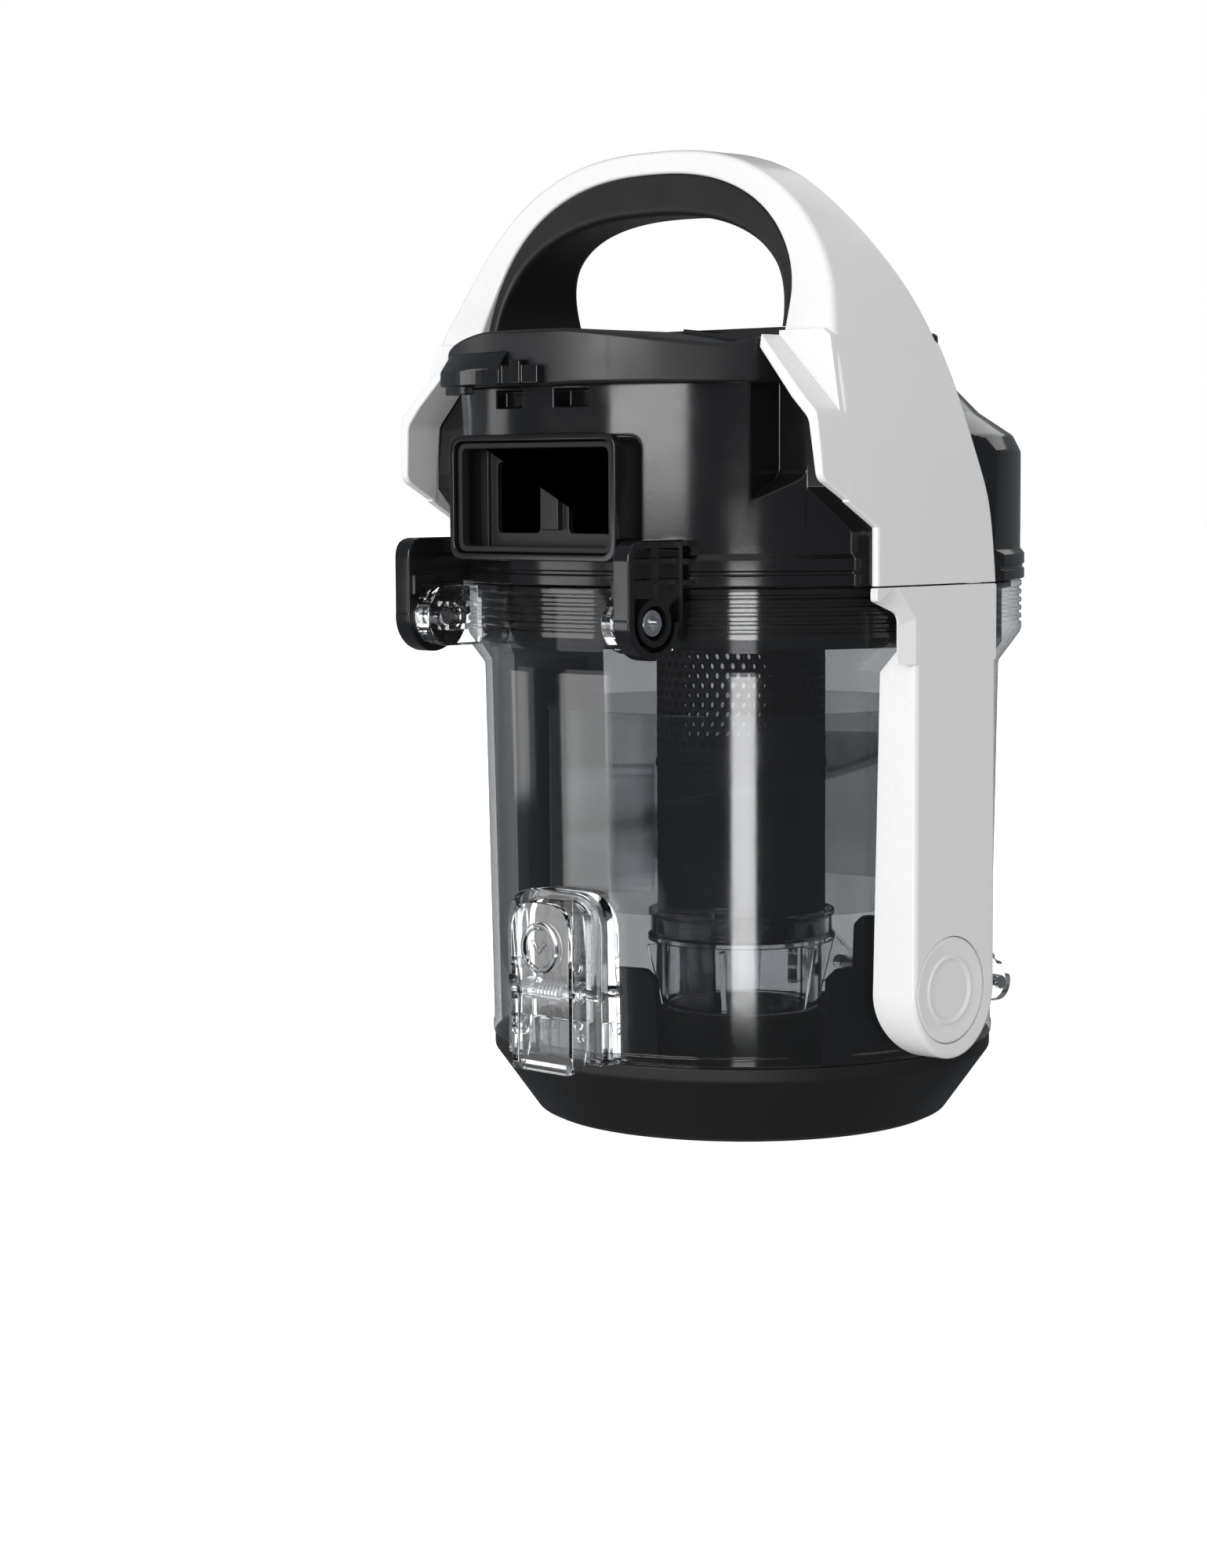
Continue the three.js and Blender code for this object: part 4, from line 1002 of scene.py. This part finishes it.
# ---------------------------------------------------------------- assembly
def build_bin():
    piece("bin_wall", bin_wall(), "bin", SMOKY, "bin_shell")
    piece("latch_frame", latch_frame(), "bin", CLEAR)
    pair("head_knuckle", head_knuckle(), "bin", CLEAR)
    pair("lid_hinge_ear", hinge_ear(), "bin", CLEAR)
    piece("rear_lug", rear_lug(), "bin", CLEAR)
    piece("inner_duct", inner_duct(), "bin", CYCLONE_CLEAR)
    screen, screen_low = perforated_screen()
    piece("shroud_screen", screen, "bin", SATIN_BLACK, "shroud_tube")
    piece("shroud_body", shroud_body(screen_low), "bin", SATIN_BLACK, "shroud_tube")
    skirt = ring_profile(SKIRT_R - SKIRT_WALL, SKIRT_R - 0.4, SKIRT_BOTTOM, SKIRT_TOP, 0.4, 0.4)
    piece("skirt_wall", turned(skirt), "bin", CYCLONE_CLEAR, "cyclone_skirt")
    piece("ramp_plate", spiral_ramp(), "bin", CYCLONE_CLEAR, "spiral_ramp")
    piece("foot_ring", foot_ring(), "bin", CLEAR, "tube_foot_ring")
    piece("inlet_pipe", inlet_tube(), "bin", CLEAR, "inlet_tube")
    cup = [(26.8, 148.5), (81.1, 148.5, 1), (81.1, 163), (79, 163), (79, 150.9, 1), (26.8, 150.9)]
    piece("separator_plate", turned(rounded(cup, 0.4, 4)), "bin", MATT_BLACK, "cyclone_plate")
    rubber = turned(ring_profile(82.8, 84, 164.8, 166.7))
    piece("collar_ring_seal", rubber, "bin", RUBBER, "collar_seal")
    tray = [(69, 152), (76, 152), (76, 164.5), (69, 164.5), (69, 163), (72, 163), (72, 154), (69, 154)]
    piece("filter_tray", turned(rounded(tray, 0.3, 3)), "bin", SATIN_BLACK, "filter_frame")
    rubber = turned(ring_profile(76.3, 78.7, 156, 159.5, 1))
    piece("filter_ring_seal", rubber, "bin", RUBBER, "filter_seal")
    piece("hinge_pin", pin(HINGE_PIN, 36.8, *LID_HINGE), "bin", STEEL, "lid_hinge_pin")
    piece("latch_axle", pin(PIN, 18, *LATCH), "bin", STEEL, "latch_pin")
    piece("latch_coil", coil(4.7, 2.6, WIRE, *LATCH), "bin", STEEL, "latch_spring")
    pair("lower_panel", lower_panel(), "bin", WHITE, "side_panel")
    pair("panel_disc", trim_disc(), "bin", WHITE, "trim_disc")


def build_lid():
    piece("lid_dish", base_lid(), "lid", MATT_BLACK, "base_lid")
    piece("lid_ring_seal", turned(ring_profile(74.6, 77, 22.7, 25)), "lid", RUBBER, "lid_seal")
    piece("inlet_ring_seal", turned(ring_profile(22.3, 24.1, 29.8, 31.8)), "lid", RUBBER, "inlet_seal")


def build_head():
    hollow = head_hollow()
    barrel = cut(head_barrel(), hollow, port_passage())
    piece("head_barrel", barrel, "head", GLOSS_BLACK, "head_housing")
    piece("port_duct", outlet_port(), "head", GLOSS_BLACK)
    pair("hinge_arm", hinge_bracket(), "head", GLOSS_BLACK)
    pair("latch_ear", rear_ears(), "head", GLOSS_BLACK)
    piece("port_gasket", port_seal(), "head", RUBBER, "port_seal")
    piece("port_grille", port_baffle(), "head", SATIN_BLACK, "port_baffle")
    pair("bracket_screw", hinge_screw(), "head", STEEL, "hinge_screw")
    piece("visor", top_cover(), "head", SATIN_BLACK, "top_cover")
    piece("visor_catch", docking_catch(), "head", GLOSS_BLACK, "docking_catch")
    piece("handle_arch", handle_shell(), "head", WHITE, "handle_shell")
    piece("grip_lining", handle_grip(), "head", SOFT_GRIP, "handle_grip")
    piece("rear_axle", pin(PIN, 15, *REAR_LATCH), "head", STEEL, "rear_latch_pin")
    piece("rear_coil", coil(4.7, 2.5, WIRE, *REAR_LATCH), "head", STEEL, "rear_latch_spring")
    piece("rear_lever", rear_latch(), "rear_latch", SATIN_BLACK, "rear_latch")


def keep_cad_nodes():
    kept = {"filter_pleats": PAPER, "panel_backing_right": SATIN_BLACK, "panel_backing_left": SATIN_BLACK}
    for name, (_, material) in kept.items():
        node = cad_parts[name]
        node.data.materials.clear()
        node.data.materials.append(material)


# ---------------------------------------------------------------- studio
CAMERA_PLACE = (0.69614, -0.77381, 0.19875)
CAMERA_TURN, CAMERA_DIP, CAMERA_ROLL = math.radians(44.233), math.radians(5.276), math.radians(-0.321)


def make_camera():
    data = bpy.data.cameras.new("camera")
    data.lens = 76.18
    data.sensor_width = 36
    data.clip_start = 0.01
    holder = bpy.data.objects.new("camera", data)
    bpy.context.scene.collection.objects.link(holder)
    dip, turn = CAMERA_DIP, CAMERA_TURN
    forward = Vector((-math.sin(turn) * math.cos(dip), math.cos(turn) * math.cos(dip), -math.sin(dip)))
    right = Vector((math.cos(turn), math.sin(turn), 0))
    up = right.cross(forward)
    level = right * math.cos(CAMERA_ROLL) + up * math.sin(CAMERA_ROLL)
    upright = up * math.cos(CAMERA_ROLL) - right * math.sin(CAMERA_ROLL)
    place = Matrix((level, upright, -forward)).transposed().to_4x4()
    place.translation = Vector(CAMERA_PLACE)
    holder.matrix_world = place
    bpy.context.scene.camera = holder


def area_light(name, azimuth, elevation, distance, size, power, target=(0, 0, 0.15)):
    """A soft rectangular lamp. Azimuth 0 is in front, at -Y, and 90 is at +X."""
    data = bpy.data.lights.new(name, "AREA")
    data.shape = "RECTANGLE"
    data.size, data.size_y = size
    data.energy = power
    holder = bpy.data.objects.new(name, data)
    a, e = math.radians(azimuth), math.radians(elevation)
    back = Vector((math.sin(a) * math.cos(e), -math.cos(a) * math.cos(e), math.sin(e)))
    holder.location = Vector(target) + back * distance
    holder.rotation_mode = "QUATERNION"
    holder.rotation_quaternion = (-back).to_track_quat("-Z", "Y")
    holder.visible_camera = False
    bpy.context.scene.collection.objects.link(holder)


def make_studio():
    area_light("key_front", 6, 11, 1.1, (0.62, 0.46), 6.8, (0, 0, 0.2))
    area_light("strip_near_camera", 43, -3, 0.95, (0.17, 0.28), 1.1, (0, 0, 0.06))
    area_light("strip_left", -30, -2, 1.1, (0.5, 0.3), 1.2, (0, 0, 0.06))
    area_light("side_left", -72, 10, 1.2, (0.3, 0.8), 1.0)
    area_light("visor", 42, 26, 1.3, (0.5, 0.3), 0.7, (0, 0, 0.23))
    area_light("side_right", 104, 12, 1.6, (0.5, 1.0), 0.7)
    area_light("overhead", 20, 78, 1.5, (1.2, 1.2), 1.8)
    area_light("back", 190, 30, 1.8, (1.2, 0.9), 3)
    mesh = bpy.data.meshes.new("floor")
    mesh.from_pydata([(-9, -9, 0), (9, -9, 0), (9, 9, 0), (-9, 9, 0)], [], [(0, 1, 2, 3)])
    material, nodes, links, shader = blank("studio_floor")
    fill(shader, {
        "Base Color": (0.93, 0.93, 0.93, 1), "Emission Color": (1, 1, 1, 1), "Emission Strength": 0.92,
    })
    links.new(ranged(nodes, links, noise(nodes, links, 3), 0.85, 0.95), shader.inputs["Roughness"])
    mesh.materials.append(material)
    floor = bpy.data.objects.new("floor", mesh)
    bpy.context.scene.collection.objects.link(floor)
    floor.visible_glossy = False
    floor.visible_diffuse = False
    floor.visible_shadow = False


def make_world():
    world = bpy.data.worlds.new("studio")
    world.use_nodes = True
    bpy.context.scene.world = world
    nodes, links = world.node_tree.nodes, world.node_tree.links
    plain = fill(nodes["Background"], {"Color": (1, 1, 1, 1), "Strength": 1.0})
    dim = fill(nodes.new("ShaderNodeBackground"), {"Color": (0.9, 0.95, 1, 1), "Strength": 0.16})
    soft = fill(nodes.new("ShaderNodeBackground"), {"Color": (1, 1, 1, 1), "Strength": 0.58})
    path = nodes.new("ShaderNodeLightPath")
    first = nodes.new("ShaderNodeMixShader")
    second = nodes.new("ShaderNodeMixShader")
    links.new(path.outputs["Is Glossy Ray"], first.inputs["Fac"])
    links.new(plain.outputs["Background"], first.inputs[1])
    links.new(dim.outputs["Background"], first.inputs[2])
    links.new(path.outputs["Is Diffuse Ray"], second.inputs["Fac"])
    links.new(first.outputs["Shader"], second.inputs[1])
    links.new(soft.outputs["Background"], second.inputs[2])
    links.new(second.outputs["Shader"], nodes["World Output"].inputs["Surface"])


make_camera()
make_world()
make_studio()
bpy.context.scene.view_settings.view_transform = "Standard"
bpy.context.scene.cycles.transparent_max_bounces = 24
build_bin()
build_lid()
piece("clear_latch", latch_lever(), "latch", CLEAR, "latch_lever")
build_head()
keep_cad_nodes()
